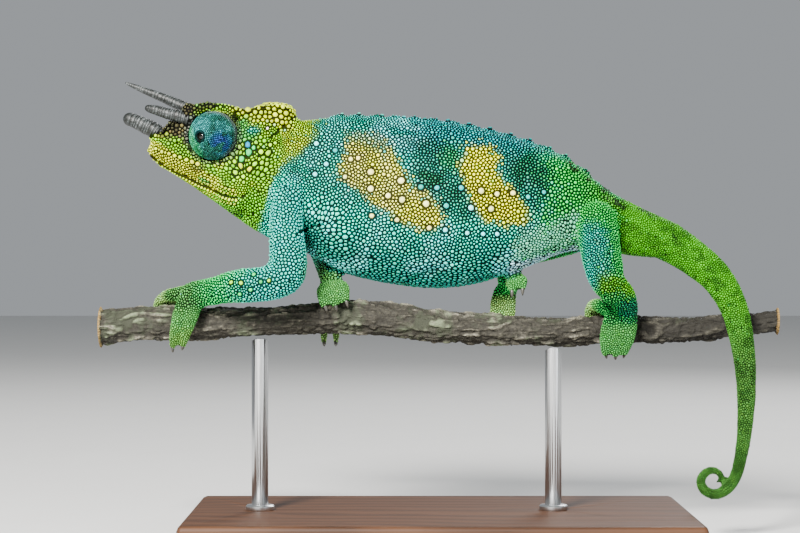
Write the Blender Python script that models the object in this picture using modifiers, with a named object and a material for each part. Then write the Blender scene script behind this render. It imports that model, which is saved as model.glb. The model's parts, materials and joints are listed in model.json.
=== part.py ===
"""A male Jackson's chameleon with three horns, as a life-size museum model on a cut perch and a stand.

The head points to -X, the animal's left side faces -Y and +Z is up. The origin is on the floor, under the
middle of the stand's base. Every table below is in millimetres and becomes metres where a mesh is made.
"""

import math

import bmesh
import bpy
import numpy as np
from mathutils import Matrix, Vector

MM = 0.001
GAP = 0.3
CUT_MARGIN = 1.0

# Trunk, from inside the head to the root of the tail: top x, top z, bottom x, bottom z, half-width.
TRUNK = (
    (-53.4, 124.2, -53.4, 90.9, 7.8),
    (-48.0, 125.0, -48.0, 87.9, 9.0),
    (-42.0, 125.2, -42.0, 85.6, 10.0),
    (-36.0, 125.8, -36.0, 82.6, 10.8),
    (-28.5, 126.6, -28.5, 78.7, 11.8),
    (-19.5, 126.4, -19.5, 76.4, 12.7),
    (-10.5, 126.0, -10.5, 74.9, 13.2),
    (0.0, 125.1, 0.0, 74.2, 13.4),
    (10.5, 123.3, 10.0, 75.4, 13.2),
    (19.5, 121.0, 18.5, 77.9, 12.4),
    (29.0, 118.1, 27.5, 81.1, 11.2),
    (38.5, 113.6, 35.5, 84.4, 9.8),
    (46.0, 107.8, 42.5, 85.8, 8.6),
    (53.0, 102.8, 50.0, 85.3, 7.5),
    (61.2, 98.4, 57.0, 84.1, 6.6),
)

# Tail, a centre line and its radius: x, y, z, radius. It hangs in front of the perch and curls at its end.
TAIL = (
    (68.0, -1.2, 88.7, 6.1),
    (73.9, -2.4, 84.9, 5.6),
    (82.0, -4.8, 78.0, 5.0),
    (87.3, -7.2, 68.3, 4.2),
    (89.8, -8.2, 56.0, 3.6),
    (90.7, -7.9, 44.0, 3.05),
    (90.2, -7.2, 31.8, 2.45),
    (89.3, -6.6, 25.1, 2.2),
    (88.0, -6.2, 19.4, 2.0),
    (85.5, -6.0, 15.2, 1.85),
    (81.8, -6.0, 13.3, 1.7),
    (78.4, -6.0, 14.6, 1.6),
    (77.4, -5.8, 17.3, 1.55),
    (78.8, -5.3, 19.7, 1.45),
    (81.4, -4.7, 20.4, 1.3),
    (83.7, -4.1, 19.0, 1.1),
    (83.6, -3.7, 17.2, 0.85),
    (82.2, -3.6, 16.8, 0.6),
)
TAIL_FLATNESS = 0.84

# How far the trunk narrows towards its back, fading out between two places on the way to the tail.
TRUNK_RIDGE = 0.12
RIDGE_FADE = (68.0, 38.0)

# Skull and jaws without horns or eyes: x, top z, bottom z, half-width.
SKULL = (
    (-88.0, 116.2, 114.0, 1.0),
    (-87.2, 117.4, 113.3, 2.4),
    (-85.2, 119.4, 111.9, 3.9),
    (-82.5, 122.0, 110.1, 4.8),
    (-79.2, 124.9, 108.0, 5.6),
    (-75.0, 127.8, 105.2, 6.6),
    (-70.5, 128.5, 102.1, 7.5),
    (-65.4, 128.4, 98.5, 8.2),
    (-60.0, 127.3, 94.6, 8.8),
    (-54.6, 126.8, 91.0, 9.1),
    (-49.5, 126.2, 88.3, 9.0),
)

# Casque, the low helmet behind the eyes: x, top z, bottom z, half-width.
CASQUE = (
    (-60.0, 127.0, 122.0, 3.0),
    (-57.0, 127.9, 120.5, 4.4),
    (-54.4, 129.6, 119.0, 5.3),
    (-51.6, 130.4, 119.0, 5.8),
    (-48.0, 130.4, 119.0, 5.7),
    (-45.4, 129.9, 120.4, 5.0),
    (-43.8, 128.8, 122.0, 4.0),
    (-42.8, 127.2, 123.8, 2.4),
)

# Ridge over each eye, from the snout to the casque's rear corner: x, distance from the middle, z, radius.
BROW = (
    (-83.0, 4.3, 121.6, 0.8),
    (-79.0, 5.2, 124.9, 1.1),
    (-75.1, 5.7, 127.5, 1.4),
    (-71.4, 6.5, 128.7, 1.4),
    (-66.9, 7.1, 128.8, 1.4),
    (-61.9, 6.9, 128.0, 1.3),
    (-57.8, 6.2, 127.0, 1.2),
    (-53.1, 5.9, 128.2, 1.2),
    (-47.8, 5.2, 128.5, 1.2),
    (-44.2, 3.2, 127.3, 1.1),
)

# Line between the jaws, from in front of the snout to the corner, then down through the throat: x, z.
MOUTH = (
    (-91.0, 117.2),
    (-87.6, 114.8),
    (-84.8, 112.9),
    (-81.6, 111.0),
    (-78.0, 109.1),
    (-74.4, 107.0),
    (-68.2, 104.3),
    (-64.6, 102.3),
    (-61.8, 101.5),
    (-59.2, 101.8),
    (-57.0, 103.2),
)
JAW_BACK = ((-57.4, 100.6), (-61.5, 90.0))
MOUTH_GAP = 0.35
MOUTH_REACH = 22.0
LIP_RADIUS = 0.75
LIP_RISE = {"upper_lip_": 0.8, "lower_lip_": -1.0}

# Swellings on both sides of the head and trunk: name, x, distance from the middle, z, and the three radii.
SWELLINGS = (
    ("cheek_", -60.0, 5.6, 105.6, 8.0, 4.4, 8.6),
    ("jowl_", -55.0, 5.4, 112.0, 6.0, 4.4, 8.0),
    ("temple_", -74.2, 4.6, 126.2, 3.6, 2.9, 2.9),
    ("rear_temple_", -55.8, 4.4, 121.6, 6.4, 3.7, 6.2),
    ("snout_side_", -81.0, 3.6, 116.6, 4.0, 1.9, 3.4),
    ("shoulder_", -44.5, 6.8, 101.0, 8.0, 5.0, 9.0),
    ("hip_", 46.5, 5.2, 94.5, 9.0, 4.6, 8.0),
)
HORN_MOUNT = (-83.2, 0.0, 119.4)
HORN_MOUNT_RADII = (4.0, 3.6, 3.4)

EYE_CENTRE = (-67.4, 6.4, 119.9)
EYE_RADIUS = 7.4
GAZE = (-0.475, 0.877, -0.077)
LID_OPENING_RADIUS = 1.3
LID_HEIGHT = 0.3
LID_ROUNDING = 0.25
LID_WIDTH = 0.9
EYE_POCKET_DEPTH = 1.6
TURRET_DEGREES = (24, 40, 56, 72, 88, 104)
TURRET_BACK_RADIUS = 5.0
TURRET_BACK_DEPTH = -3.6
PUPIL_DOME = ((0.0, 0.45), (0.6, 0.6), (1.0, 1.0))
ORBIT_RING_RADIUS = 7.7
ORBIT_RING_THICKNESS = 0.9
ORBIT_RING_HEIGHT = 0.4

NOSTRIL = (-80.6, 4.9, 117.4)
NOSTRIL_RADIUS = 0.7

# Horns: x, y, z, radius. The rostral horn is blunt, the left preocular horn short and the right one long.
HORN_ROSTRAL = (
    (-82.6, 0.0, 119.3, 2.6),
    (-85.4, 0.0, 121.7, 2.55),
    (-88.6, 0.0, 123.3, 2.4),
    (-91.4, 0.0, 124.6, 2.15),
    (-93.6, 0.0, 125.4, 2.0),
    (-94.6, 0.0, 125.7, 1.65),
)
HORN_LEFT = (
    (-73.6, -4.9, 124.7, 2.2),
    (-76.8, -4.9, 125.6, 2.0),
    (-80.4, -4.9, 126.4, 1.75),
    (-84.2, -4.9, 127.5, 1.5),
    (-86.7, -4.9, 128.1, 1.2),
    (-87.6, -4.9, 128.3, 0.7),
)
HORN_RIGHT = (
    (-72.4, 4.9, 127.0, 2.1),
    (-76.4, 4.9, 128.8, 1.9),
    (-82.4, 4.9, 131.5, 1.5),
    (-88.4, 4.9, 133.9, 1.1),
    (-92.6, 4.9, 135.6, 0.7),
    (-95.0, 4.9, 136.6, 0.35),
)
HORN_SIDES = 8

# Dorsal crest: a row of low scallops from the shoulders to the hips.
CREST_START_X = -33.0
CREST_END_X = 46.0
CREST_COUNT = 14
CREST_HALF_WIDTH = 1.5
CREST_DEPTH = 1.7
CREST_RISE = 0.8
CREST_OVERLAP = 0.56

# Perch: x, y, z, radius.
PERCH = (
    (-102.0, 0.0, 62.8, 6.3),
    (-87.0, 0.0, 64.0, 5.9),
    (-72.0, 0.0, 64.0, 5.9),
    (-52.5, 0.0, 64.5, 5.6),
    (-33.0, 0.0, 65.7, 5.9),
    (-23.0, 0.0, 65.7, 6.1),
    (-12.0, 0.0, 64.6, 5.9),
    (7.8, 0.0, 62.5, 5.9),
    (35.7, 0.4, 61.5, 5.4),
    (52.6, 1.0, 62.0, 5.1),
    (72.2, 1.8, 62.2, 4.9),
    (86.8, 2.8, 62.8, 4.7),
    (102.0, 3.8, 64.6, 4.4),
)
PERCH_SIDES = 14
PERCH_STEPS = 2
PERCH_WAVE = 0.28

# Legs: each limb is a list of tubes, and each tube is x, y, z, radius. The left side is the near one.
FRONT_LEFT = {
    "arm": (
        (-44.6, -8.2, 101.6, 5.6),
        (-45.5, -10.4, 96.3, 5.3),
        (-45.3, -13.8, 90.3, 5.4),
        (-44.8, -16.4, 85.3, 5.8),
        (-44.8, -17.6, 81.2, 6.0),
        (-45.8, -17.8, 78.5, 6.1),
        (-48.9, -17.6, 76.6, 5.6),
        (-52.6, -16.7, 75.8, 5.4),
        (-57.7, -14.8, 75.4, 5.4),
        (-62.0, -12.6, 74.9, 4.9),
        (-66.7, -10.0, 73.8, 4.4),
        (-70.4, -7.6, 73.2, 4.4),
        (-73.9, -5.4, 72.6, 4.2),
    ),
    "outer_1": (
        (-74.9, -6.4, 71.8, 3.0),
        (-76.4, -8.4, 69.2, 2.5),
        (-77.6, -8.8, 65.2, 2.2),
        (-78.9, -8.2, 61.0, 1.6),
        (-79.5, -6.9, 57.9, 1.1),
        (-79.6, -6.0, 55.8, 0.6),
    ),
    "outer_2": (
        (-72.6, -6.4, 71.6, 3.0),
        (-73.0, -8.4, 69.0, 2.5),
        (-74.2, -8.8, 65.2, 2.2),
        (-75.4, -8.2, 61.0, 1.55),
        (-76.3, -6.9, 58.2, 1.1),
        (-76.8, -6.0, 56.4, 0.6),
    ),
    "inner_1": (
        (-76.0, -2.0, 72.9, 2.7),
        (-80.9, 1.0, 72.5, 2.2),
        (-84.4, 4.3, 70.9, 1.65),
        (-85.8, 7.2, 68.0, 1.4),
        (-86.0, 7.8, 64.4, 1.1),
        (-85.6, 6.9, 61.9, 0.7),
    ),
    "inner_2": (
        (-75.0, -1.6, 73.2, 2.8),
        (-78.8, 2.4, 72.7, 2.3),
        (-81.8, 5.3, 71.0, 1.8),
        (-82.9, 7.6, 67.8, 1.5),
        (-83.0, 8.0, 64.1, 1.15),
        (-82.7, 7.1, 61.3, 0.75),
    ),
    "inner_3": (
        (-73.6, -1.2, 72.9, 2.8),
        (-76.4, 3.2, 72.8, 2.4),
        (-78.9, 6.1, 70.9, 1.8),
        (-79.9, 7.9, 67.5, 1.5),
        (-80.0, 8.1, 63.8, 1.15),
        (-79.7, 7.2, 61.0, 0.75),
    ),
}
FRONT_RIGHT = {
    "arm": (
        (-45.0, 8.2, 100.4, 5.3),
        (-42.5, 13.0, 95.0, 5.0),
        (-39.4, 18.0, 90.4, 5.0),
        (-37.0, 20.0, 88.3, 4.8),
        (-35.6, 18.0, 85.8, 4.5),
        (-34.0, 11.6, 81.4, 4.1),
        (-32.9, 5.4, 77.6, 3.7),
        (-32.4, 1.2, 75.4, 3.6),
    ),
    "inner_1": (
        (-33.6, -0.6, 74.9, 2.6),
        (-34.8, -4.0, 73.6, 2.3),
        (-34.7, -6.6, 71.4, 1.8),
        (-34.2, -7.6, 69.2, 1.2),
        (-33.8, -7.8, 68.2, 0.7),
    ),
    "inner_2": (
        (-32.4, -0.8, 75.1, 2.6),
        (-31.8, -4.2, 74.0, 2.3),
        (-31.6, -6.7, 71.7, 1.8),
        (-31.1, -7.6, 69.4, 1.2),
        (-30.8, -7.8, 68.4, 0.7),
    ),
    "inner_3": (
        (-31.2, -0.6, 75.2, 2.5),
        (-29.1, -4.0, 74.6, 2.2),
        (-28.5, -6.2, 72.8, 1.7),
        (-27.9, -7.3, 70.6, 1.15),
        (-27.6, -7.6, 69.6, 0.7),
    ),
    "outer_1": (
        (-33.4, 3.0, 74.9, 2.9),
        (-34.6, 7.0, 72.4, 2.3),
        (-35.3, 8.5, 67.4, 1.8),
        (-35.2, 8.2, 62.2, 1.4),
        (-35.0, 6.2, 58.6, 1.0),
        (-34.9, 4.8, 57.2, 0.7),
    ),
    "outer_2": (
        (-31.4, 3.0, 74.9, 2.9),
        (-31.2, 7.0, 72.4, 2.3),
        (-31.3, 8.5, 67.4, 1.8),
        (-31.4, 8.2, 62.2, 1.4),
        (-31.4, 6.2, 58.6, 1.0),
        (-31.4, 4.8, 57.2, 0.7),
    ),
}
HIND_LEFT = {
    "leg": (
        (46.4, -7.4, 94.6, 6.4),
        (46.8, -9.6, 89.4, 6.5),
        (47.3, -12.8, 84.2, 6.3),
        (48.0, -15.8, 79.6, 6.0),
        (49.2, -17.6, 75.8, 5.2),
        (52.4, -14.8, 72.9, 4.7),
        (54.4, -11.6, 69.9, 4.0),
        (55.0, -9.2, 67.4, 3.6),
        (54.0, -7.6, 66.2, 3.4),
    ),
    "outer_1": (
        (51.5, -7.6, 66.4, 2.9),
        (50.0, -8.6, 63.6, 2.5),
        (49.2, -8.4, 59.4, 2.2),
        (49.0, -7.2, 56.2, 1.6),
        (49.4, -6.0, 54.0, 0.9),
    ),
    "outer_2": (
        (53.6, -7.9, 66.4, 2.9),
        (52.9, -8.8, 63.6, 2.5),
        (52.2, -8.5, 59.4, 2.3),
        (51.9, -7.2, 55.9, 1.55),
        (52.1, -5.9, 53.6, 0.85),
    ),
    "outer_3": (
        (55.8, -7.8, 66.6, 2.9),
        (56.0, -8.7, 63.6, 2.5),
        (55.3, -8.5, 59.4, 2.2),
        (54.7, -7.2, 56.2, 1.55),
        (54.5, -5.9, 54.1, 0.85),
    ),
    "inner_1": (
        (51.6, -5.2, 67.6, 3.0),
        (48.0, -1.4, 69.3, 2.3),
        (46.2, 2.8, 69.2, 2.0),
        (45.3, 6.2, 67.0, 1.6),
        (45.1, 7.5, 63.4, 1.3),
        (45.3, 6.9, 59.8, 0.8),
    ),
    "inner_2": (
        (53.2, -5.0, 68.0, 3.0),
        (50.9, -0.8, 69.8, 2.3),
        (49.6, 3.4, 69.4, 2.0),
        (49.0, 6.6, 67.0, 1.6),
        (48.8, 7.8, 63.4, 1.3),
        (48.9, 7.1, 59.8, 0.8),
    ),
}
HIND_RIGHT = {
    "leg": (
        (47.0, 7.4, 93.4, 6.0),
        (39.7, 11.2, 89.6, 5.3),
        (31.4, 14.8, 86.9, 4.8),
        (23.6, 17.2, 85.0, 4.6),
        (21.2, 16.0, 83.4, 4.3),
        (20.4, 12.6, 81.0, 3.8),
        (20.7, 8.0, 77.8, 3.4),
        (21.6, 5.4, 75.8, 3.2),
    ),
    "inner_1": (
        (21.6, 4.2, 75.8, 2.5),
        (21.7, 0.6, 76.4, 2.0),
        (21.6, -1.9, 75.5, 1.6),
        (21.5, -3.0, 74.0, 1.1),
        (21.4, -3.5, 72.6, 0.6),
    ),
    "inner_2": (
        (22.6, 4.2, 76.0, 2.5),
        (24.3, 0.6, 76.9, 2.0),
        (24.6, -1.9, 76.1, 1.6),
        (24.6, -3.0, 74.6, 1.1),
        (24.6, -3.5, 73.2, 0.6),
    ),
    "outer_1": (
        (20.8, 6.4, 75.4, 2.5),
        (18.0, 8.8, 73.4, 1.9),
        (16.8, 9.3, 69.4, 1.6),
        (16.6, 8.8, 64.4, 1.4),
        (16.7, 7.6, 60.2, 1.1),
        (16.8, 6.0, 57.6, 0.7),
    ),
    "outer_2": (
        (21.2, 6.8, 75.4, 2.5),
        (19.8, 9.4, 73.2, 1.9),
        (19.3, 9.6, 69.2, 1.6),
        (19.2, 8.9, 64.2, 1.4),
        (19.2, 7.6, 60.0, 1.1),
        (19.2, 6.0, 57.4, 0.7),
    ),
    "outer_3": (
        (21.8, 6.8, 75.4, 2.5),
        (21.9, 9.4, 73.4, 1.9),
        (21.8, 9.6, 69.2, 1.6),
        (21.7, 8.9, 64.2, 1.4),
        (21.7, 7.6, 60.0, 1.1),
        (21.7, 6.0, 57.4, 0.7),
    ),
}

# Display stand.
BASE_SIZE = (150.0, 86.0, 8.0)
BASE_BEVEL = 1.6
ROD_RADIUS = 2.5
ROD_X = {"stand_rod_front": -54.0, "stand_rod_back": 34.0}
SOCKET_DEPTH = 5.0

COLOURS = {
    "head": ((0.55, 0.62, 0.08), 0.55, 0.0),
    "flesh": ((0.10, 0.50, 0.42), 0.55, 0.0),
    "tail": ((0.12, 0.50, 0.12), 0.55, 0.0),
    "limb": ((0.12, 0.48, 0.34), 0.55, 0.0),
    "eye": ((0.05, 0.28, 0.34), 0.45, 0.0),
    "eyeball": ((0.01, 0.01, 0.01), 0.1, 0.0),
    "horn": ((0.32, 0.30, 0.26), 0.6, 0.0),
    "bark": ((0.20, 0.15, 0.11), 0.85, 0.0),
    "base": ((0.08, 0.05, 0.03), 0.4, 0.0),
    "rod": ((0.60, 0.60, 0.60), 0.3, 1.0),
}

BODY_VOXEL = 0.6
LIMB_VOXEL = 0.5
RING_SIDES = 28
TUBE_SIDES = 16
CRUMB_FACES = 60


def clear_scene():
    for obj in list(bpy.data.objects):
        bpy.data.objects.remove(obj, do_unlink=True)


def collection(name, hidden=False):
    made = bpy.data.collections.new(name)
    bpy.context.scene.collection.children.link(made)
    made.hide_render = hidden
    return made


def material(name):
    colour, roughness, metallic = COLOURS[name]
    made = bpy.data.materials.new(name)
    made.use_nodes = True
    shader = made.node_tree.nodes["Principled BSDF"]
    shader.inputs["Base Color"].default_value = (*colour, 1.0)
    shader.inputs["Roughness"].default_value = roughness
    shader.inputs["Metallic"].default_value = metallic
    return made


def new_object(name, mesh, group):
    obj = bpy.data.objects.new(name, mesh)
    group.objects.link(obj)
    if group.hide_render:
        obj.display_type = "WIRE"
    return obj


def object_from_bmesh(name, bm, group):
    mesh = bpy.data.meshes.new(name)
    bm.to_mesh(mesh)
    bm.free()
    return new_object(name, mesh, group)


def evaluated_copy(obj, name, group):
    """A new object whose mesh is the other's with its modifiers applied and its place baked in."""
    graph = bpy.context.evaluated_depsgraph_get()
    mesh = bpy.data.meshes.new_from_object(obj.evaluated_get(graph), depsgraph=graph)
    mesh.transform(obj.matrix_world)
    return new_object(name, mesh, group)


def apply_modifiers(obj):
    graph = bpy.context.evaluated_depsgraph_get()
    mesh = bpy.data.meshes.new_from_object(obj.evaluated_get(graph), depsgraph=graph)
    old = obj.data
    obj.modifiers.clear()
    obj.data = mesh
    bpy.data.meshes.remove(old)


def smooth_path(points, steps):
    """Points on a Catmull-Rom curve through the given rows, all columns blended alike."""
    rows = np.array(points, dtype=float)
    first = 2 * rows[0] - rows[1]
    last = 2 * rows[-1] - rows[-2]
    rows = np.vstack([first, rows, last])
    out = []
    for i in range(1, len(rows) - 2):
        a, b, c, d = rows[i - 1], rows[i], rows[i + 1], rows[i + 2]
        for s in range(steps):
            t = s / steps
            bend = 2 * a - 5 * b + 4 * c - d
            twist = 3 * b - a - 3 * c + d
            out.append(0.5 * (2 * b + (c - a) * t + bend * t**2 + twist * t**3))
    out.append(rows[-2])
    return np.array(out)


def loft(name, rings, group):
    """A closed solid through rings of equal length, with a flat cap at each end."""
    bm = bmesh.new()
    loops = [[bm.verts.new(Vector(p) * MM) for p in ring] for ring in rings]
    count = len(rings[0])
    for lower, upper in zip(loops, loops[1:]):
        for i in range(count):
            j = (i + 1) % count
            bm.faces.new((lower[i], lower[j], upper[j], upper[i]))
    bm.faces.new(list(reversed(loops[0])))
    bm.faces.new(loops[-1])
    bmesh.ops.recalc_face_normals(bm, faces=bm.faces)
    return object_from_bmesh(name, bm, group)


def upright_ring(centre, up, half_height, half_width, ridge=0.0):
    """A ring of body section: ridge above 0 narrows its top and fills its lower half."""
    ring = []
    for i in range(RING_SIDES):
        angle = 2 * math.pi * i / RING_SIDES
        rise = math.cos(angle)
        side = math.sin(angle) * (1 - ridge * rise)
        ring.append(Vector(centre) + Vector(up) * half_height * rise + Vector((0, half_width * side, 0)))
    return ring


def spine_sections():
    """Trunk and tail sections along the whole animal: centre, up direction, half-height, half-width."""
    sections = []
    for top_x, top_z, low_x, low_z, width in smooth_path(TRUNK, 3):
        top = Vector((top_x, 0, top_z))
        low = Vector((low_x, 0, low_z))
        centre = (top + low) / 2
        sections.append((centre, (top - low).normalized(), (top - low).length / 2, width))
    tail = smooth_path(TAIL, 4)
    for i, (x, y, z, radius) in enumerate(tail):
        before = tail[max(i - 1, 0)]
        after = tail[min(i + 1, len(tail) - 1)]
        along = Vector((after - before)[:3])
        up = Vector((-along.z, 0, along.x)).normalized()
        progress = i / (len(tail) - 1)
        flat = TAIL_FLATNESS + (1 - TAIL_FLATNESS) * progress
        sections.append((Vector((x, y, z)), up, radius, radius * flat))
    return sections


def spine_loft(group):
    rings = []
    end, start = RIDGE_FADE
    for centre, up, height, width in spine_sections():
        trunk_part = min(max((end - centre.x) / (end - start), 0.0), 1.0)
        rings.append(upright_ring(centre, up, height, width, TRUNK_RIDGE * trunk_part))
    return loft("spine", rings, group)


def upright_loft(name, table, group, ridge=0.0):
    """A solid through upright sections given as x, top z, bottom z, half-width."""
    rings = []
    for x, top, low, width in smooth_path(table, 3):
        rings.append(upright_ring((x, 0, (top + low) / 2), (0, 0, 1), (top - low) / 2, width, ridge))
    return loft(name, rings, group)


def tube(name, points, group, sides=TUBE_SIDES, steps=3):
    """A round tube along a smooth path of x, y, z, radius: a bevelled curve turned into a mesh."""
    curve = bpy.data.curves.new(name, "CURVE")
    curve.dimensions = "3D"
    curve.bevel_depth = MM
    curve.bevel_resolution = sides // 4 - 1
    curve.use_fill_caps = True
    path = smooth_path(points, steps)
    spline = curve.splines.new("POLY")
    spline.points.add(len(path) - 1)
    for point, (x, y, z, radius) in zip(spline.points, path):
        point.co = (x * MM, y * MM, z * MM, 1)
        point.radius = radius
    holder = new_object(name + "_curve", curve, group)
    made = evaluated_copy(holder, name, group)
    bpy.data.objects.remove(holder, do_unlink=True)
    bpy.data.curves.remove(curve)
    bm = bmesh.new()
    bm.from_mesh(made.data)
    bmesh.ops.remove_doubles(bm, verts=bm.verts, dist=0.002 * MM)
    bmesh.ops.recalc_face_normals(bm, faces=bm.faces)
    bm.to_mesh(made.data)
    bm.free()
    return made


def ball(name, centre, radii, group, segments=16):
    bm = bmesh.new()
    bmesh.ops.create_uvsphere(bm, u_segments=segments, v_segments=segments // 2, radius=1.0)
    scale = Matrix.Diagonal((*[r * MM for r in radii], 1))
    bmesh.ops.transform(bm, matrix=Matrix.Translation(Vector(centre) * MM) @ scale, verts=bm.verts)
    return object_from_bmesh(name, bm, group)


def joined(name, pieces, group):
    """One object that holds the meshes of all pieces, which are then removed."""
    bm = bmesh.new()
    for piece in pieces:
        bm.from_mesh(piece.data)
    made = object_from_bmesh(name, bm, group)
    for piece in pieces:
        bpy.data.objects.remove(piece, do_unlink=True)
    return made


def fused(name, pieces, voxel, smoothing, group):
    """The pieces melted into one smooth closed skin."""
    made = joined(name, pieces, group)
    remesh = made.modifiers.new("melt", "REMESH")
    remesh.mode = "VOXEL"
    remesh.voxel_size = voxel * MM
    soften = made.modifiers.new("soften", "SMOOTH")
    soften.factor = 0.5
    soften.iterations = smoothing
    apply_modifiers(made)
    return made


def components(bm):
    """Lists of faces, one for each connected surface."""
    left = set(bm.faces)
    found = []
    while left:
        seed = left.pop()
        group = [seed]
        stack = [seed]
        while stack:
            face = stack.pop()
            for edge in face.edges:
                for other in edge.link_faces:
                    if other in left:
                        left.remove(other)
                        group.append(other)
                        stack.append(other)
        found.append(group)
    return found


def tidy(obj, choose=None):
    """Keep the largest closed surface, or the one that choose likes best, as clean triangles."""
    bm = bmesh.new()
    bm.from_mesh(obj.data)
    bmesh.ops.remove_doubles(bm, verts=bm.verts, dist=0.004 * MM)
    bmesh.ops.dissolve_degenerate(bm, edges=bm.edges, dist=0.004 * MM)
    parts = components(bm)
    score = choose or (lambda faces: sum(f.calc_area() for f in faces))
    keep = set(max(parts, key=score))
    bmesh.ops.delete(bm, geom=[f for f in bm.faces if f not in keep], context="FACES")
    bmesh.ops.triangulate(bm, faces=bm.faces)
    bm.to_mesh(obj.data)
    bm.free()
    obj.data.update()


def slice_off(obj, point, normal, offset):
    """Remove what lies beyond a plane, moved along its normal by offset, and close the cut."""
    bm = bmesh.new()
    bm.from_mesh(obj.data)
    direction = Vector(normal).normalized()
    place = (Vector(point) + direction * offset) * MM
    geometry = list(bm.verts) + list(bm.edges) + list(bm.faces)
    bmesh.ops.bisect_plane(bm, geom=geometry, plane_co=place, plane_no=direction, clear_outer=True)
    open_edges = [e for e in bm.edges if e.is_boundary]
    bmesh.ops.holes_fill(bm, edges=open_edges, sides=0)
    bm.to_mesh(obj.data)
    bm.free()


def thin_out(obj, triangles):
    """Decimate to about so many triangles."""
    bm = bmesh.new()
    bm.from_mesh(obj.data)
    bmesh.ops.triangulate(bm, faces=bm.faces)
    count = len(bm.faces)
    bm.to_mesh(obj.data)
    bm.free()
    if count > triangles:
        thin = obj.modifiers.new("thin", "DECIMATE")
        thin.ratio = triangles / count
        apply_modifiers(obj)


def node_between(whole, name, planes, triangles, group):
    """The length of a whole form that lies behind every plane, a row of point and outward normal."""
    node = new_object(name, whole.data.copy(), group)
    for point, normal in planes:
        slice_off(node, point, normal, CUT_MARGIN)
    tidy(node)
    thin_out(node, triangles)
    for point, normal in planes:
        slice_off(node, point, normal, -GAP / 2)
    tidy(node)
    return node


def boolean(obj, other, operation, solver="EXACT"):
    step = obj.modifiers.new(operation.lower(), "BOOLEAN")
    step.operation = operation
    step.solver = solver
    if isinstance(other, bpy.types.Collection):
        step.operand_type = "COLLECTION"
        step.collection = other
    else:
        step.object = other
    apply_modifiers(obj)


def grown(obj, amount, group):
    """A copy whose surface stands out by amount all over, for cutting a neighbour clear of it."""
    made = new_object(obj.name + "_grown", obj.data.copy(), group)
    bm = bmesh.new()
    bm.from_mesh(made.data)
    bm.normal_update()
    moves = [(v, v.normal * amount * MM) for v in bm.verts]
    for vert, move in moves:
        vert.co += move
    bm.to_mesh(made.data)
    bm.free()
    return made


def cut_clear(node, others, group, amount=GAP):
    """Cut a node back so that it keeps a gap to each of the others."""
    for other in others:
        cutter = grown(other, amount, group)
        boolean(node, cutter, "DIFFERENCE")
        bpy.data.objects.remove(cutter, do_unlink=True)
    tidy(node)


def half_width_of_skull(x, z):
    rows = smooth_path(SKULL, 6)
    top = np.interp(x, rows[:, 0], rows[:, 1])
    low = np.interp(x, rows[:, 0], rows[:, 2])
    width = np.interp(x, rows[:, 0], rows[:, 3])
    rise = (z - (top + low) / 2) / ((top - low) / 2)
    return width * math.sqrt(max(1 - min(rise * rise, 1.0), 0.0))


def lip(name, side, rise, group):
    """A soft roll along one edge of the mouth, on one side of the head."""
    points = []
    for x, z in MOUTH[2:-1]:
        reach = max(half_width_of_skull(x, z + rise) - 0.25 * LIP_RADIUS, 0.8)
        points.append((x, side * reach, z + rise, LIP_RADIUS))
    return tube(name, points, group, sides=8, steps=2)


def orbit_ring(name, side, group):
    """The fold of skin round an eye turret."""
    centre = Vector((EYE_CENTRE[0], side * EYE_CENTRE[1], EYE_CENTRE[2]))
    outward = Vector((GAZE[0] * 0.35, side, 0)).normalized()
    turn = Vector((0, 0, 1)).rotation_difference(outward)
    points = []
    for i in range(17):
        angle = 2 * math.pi * i / 16
        flat = Vector((math.cos(angle), math.sin(angle), 0)) * ORBIT_RING_RADIUS
        spot = centre + turn @ flat + outward * ORBIT_RING_HEIGHT
        points.append((*spot, ORBIT_RING_THICKNESS))
    return tube(name, points, group, sides=8, steps=1)


def whole_spine(group):
    """Head, neck, trunk and tail as one smooth form."""
    pieces = [
        spine_loft(group),
        upright_loft("skull", SKULL, group),
        upright_loft("casque", CASQUE, group),
        ball("horn_mount", HORN_MOUNT, HORN_MOUNT_RADII, group),
    ]
    for side, label in ((-1, "left"), (1, "right")):
        brow = [(x, side * y, z, radius) for x, y, z, radius in BROW]
        pieces.append(tube("brow_" + label, brow, group, sides=12))
        for name, x, y, z, *radii in SWELLINGS:
            pieces.append(ball(name + label, (x, side * y, z), radii, group))
        for name, rise in LIP_RISE.items():
            pieces.append(lip(name + label, side, rise, group))
        pieces.append(orbit_ring("orbit_" + label, side, group))
    return fused("whole_spine", pieces, BODY_VOXEL, 3, group)


def add_crest(torso, group):
    """A row of low scallops along the back, fused in."""
    rows = smooth_path(TRUNK, 6)
    scallops = collection("scallops", hidden=True)
    step = (CREST_END_X - CREST_START_X) / CREST_COUNT
    for i in range(CREST_COUNT):
        x = CREST_START_X + (i + 0.5) * step
        z = np.interp(x, rows[:, 0], rows[:, 1])
        slope = np.interp(x + 1, rows[:, 0], rows[:, 1]) - np.interp(x - 1, rows[:, 0], rows[:, 1])
        length = step * CREST_OVERLAP
        scallop = ball("scallop", (0, 0, 0), (length, CREST_HALF_WIDTH, CREST_DEPTH), scallops, segments=8)
        turn = Matrix.Rotation(-math.atan2(slope, 2.0), 4, "Y")
        lift = CREST_RISE - CREST_DEPTH
        place = Matrix.Translation(Vector((x, 0, z + lift)) * MM)
        scallop.data.transform(place @ turn)
    boolean(torso, scallops, "UNION")
    for scallop in list(scallops.objects):
        bpy.data.objects.remove(scallop, do_unlink=True)
    tidy(torso)


def across(top, low):
    """A plane across the body through two points of the side view, facing the tail: point and normal."""
    run = Vector((top[0] - low[0], 0, top[1] - low[1]))
    point = ((top[0] + low[0]) / 2, 0, (top[1] + low[1]) / 2)
    return point, (run.z, 0, -run.x)


def flipped(plane):
    point, normal = plane
    return point, tuple(-n for n in normal)


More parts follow.
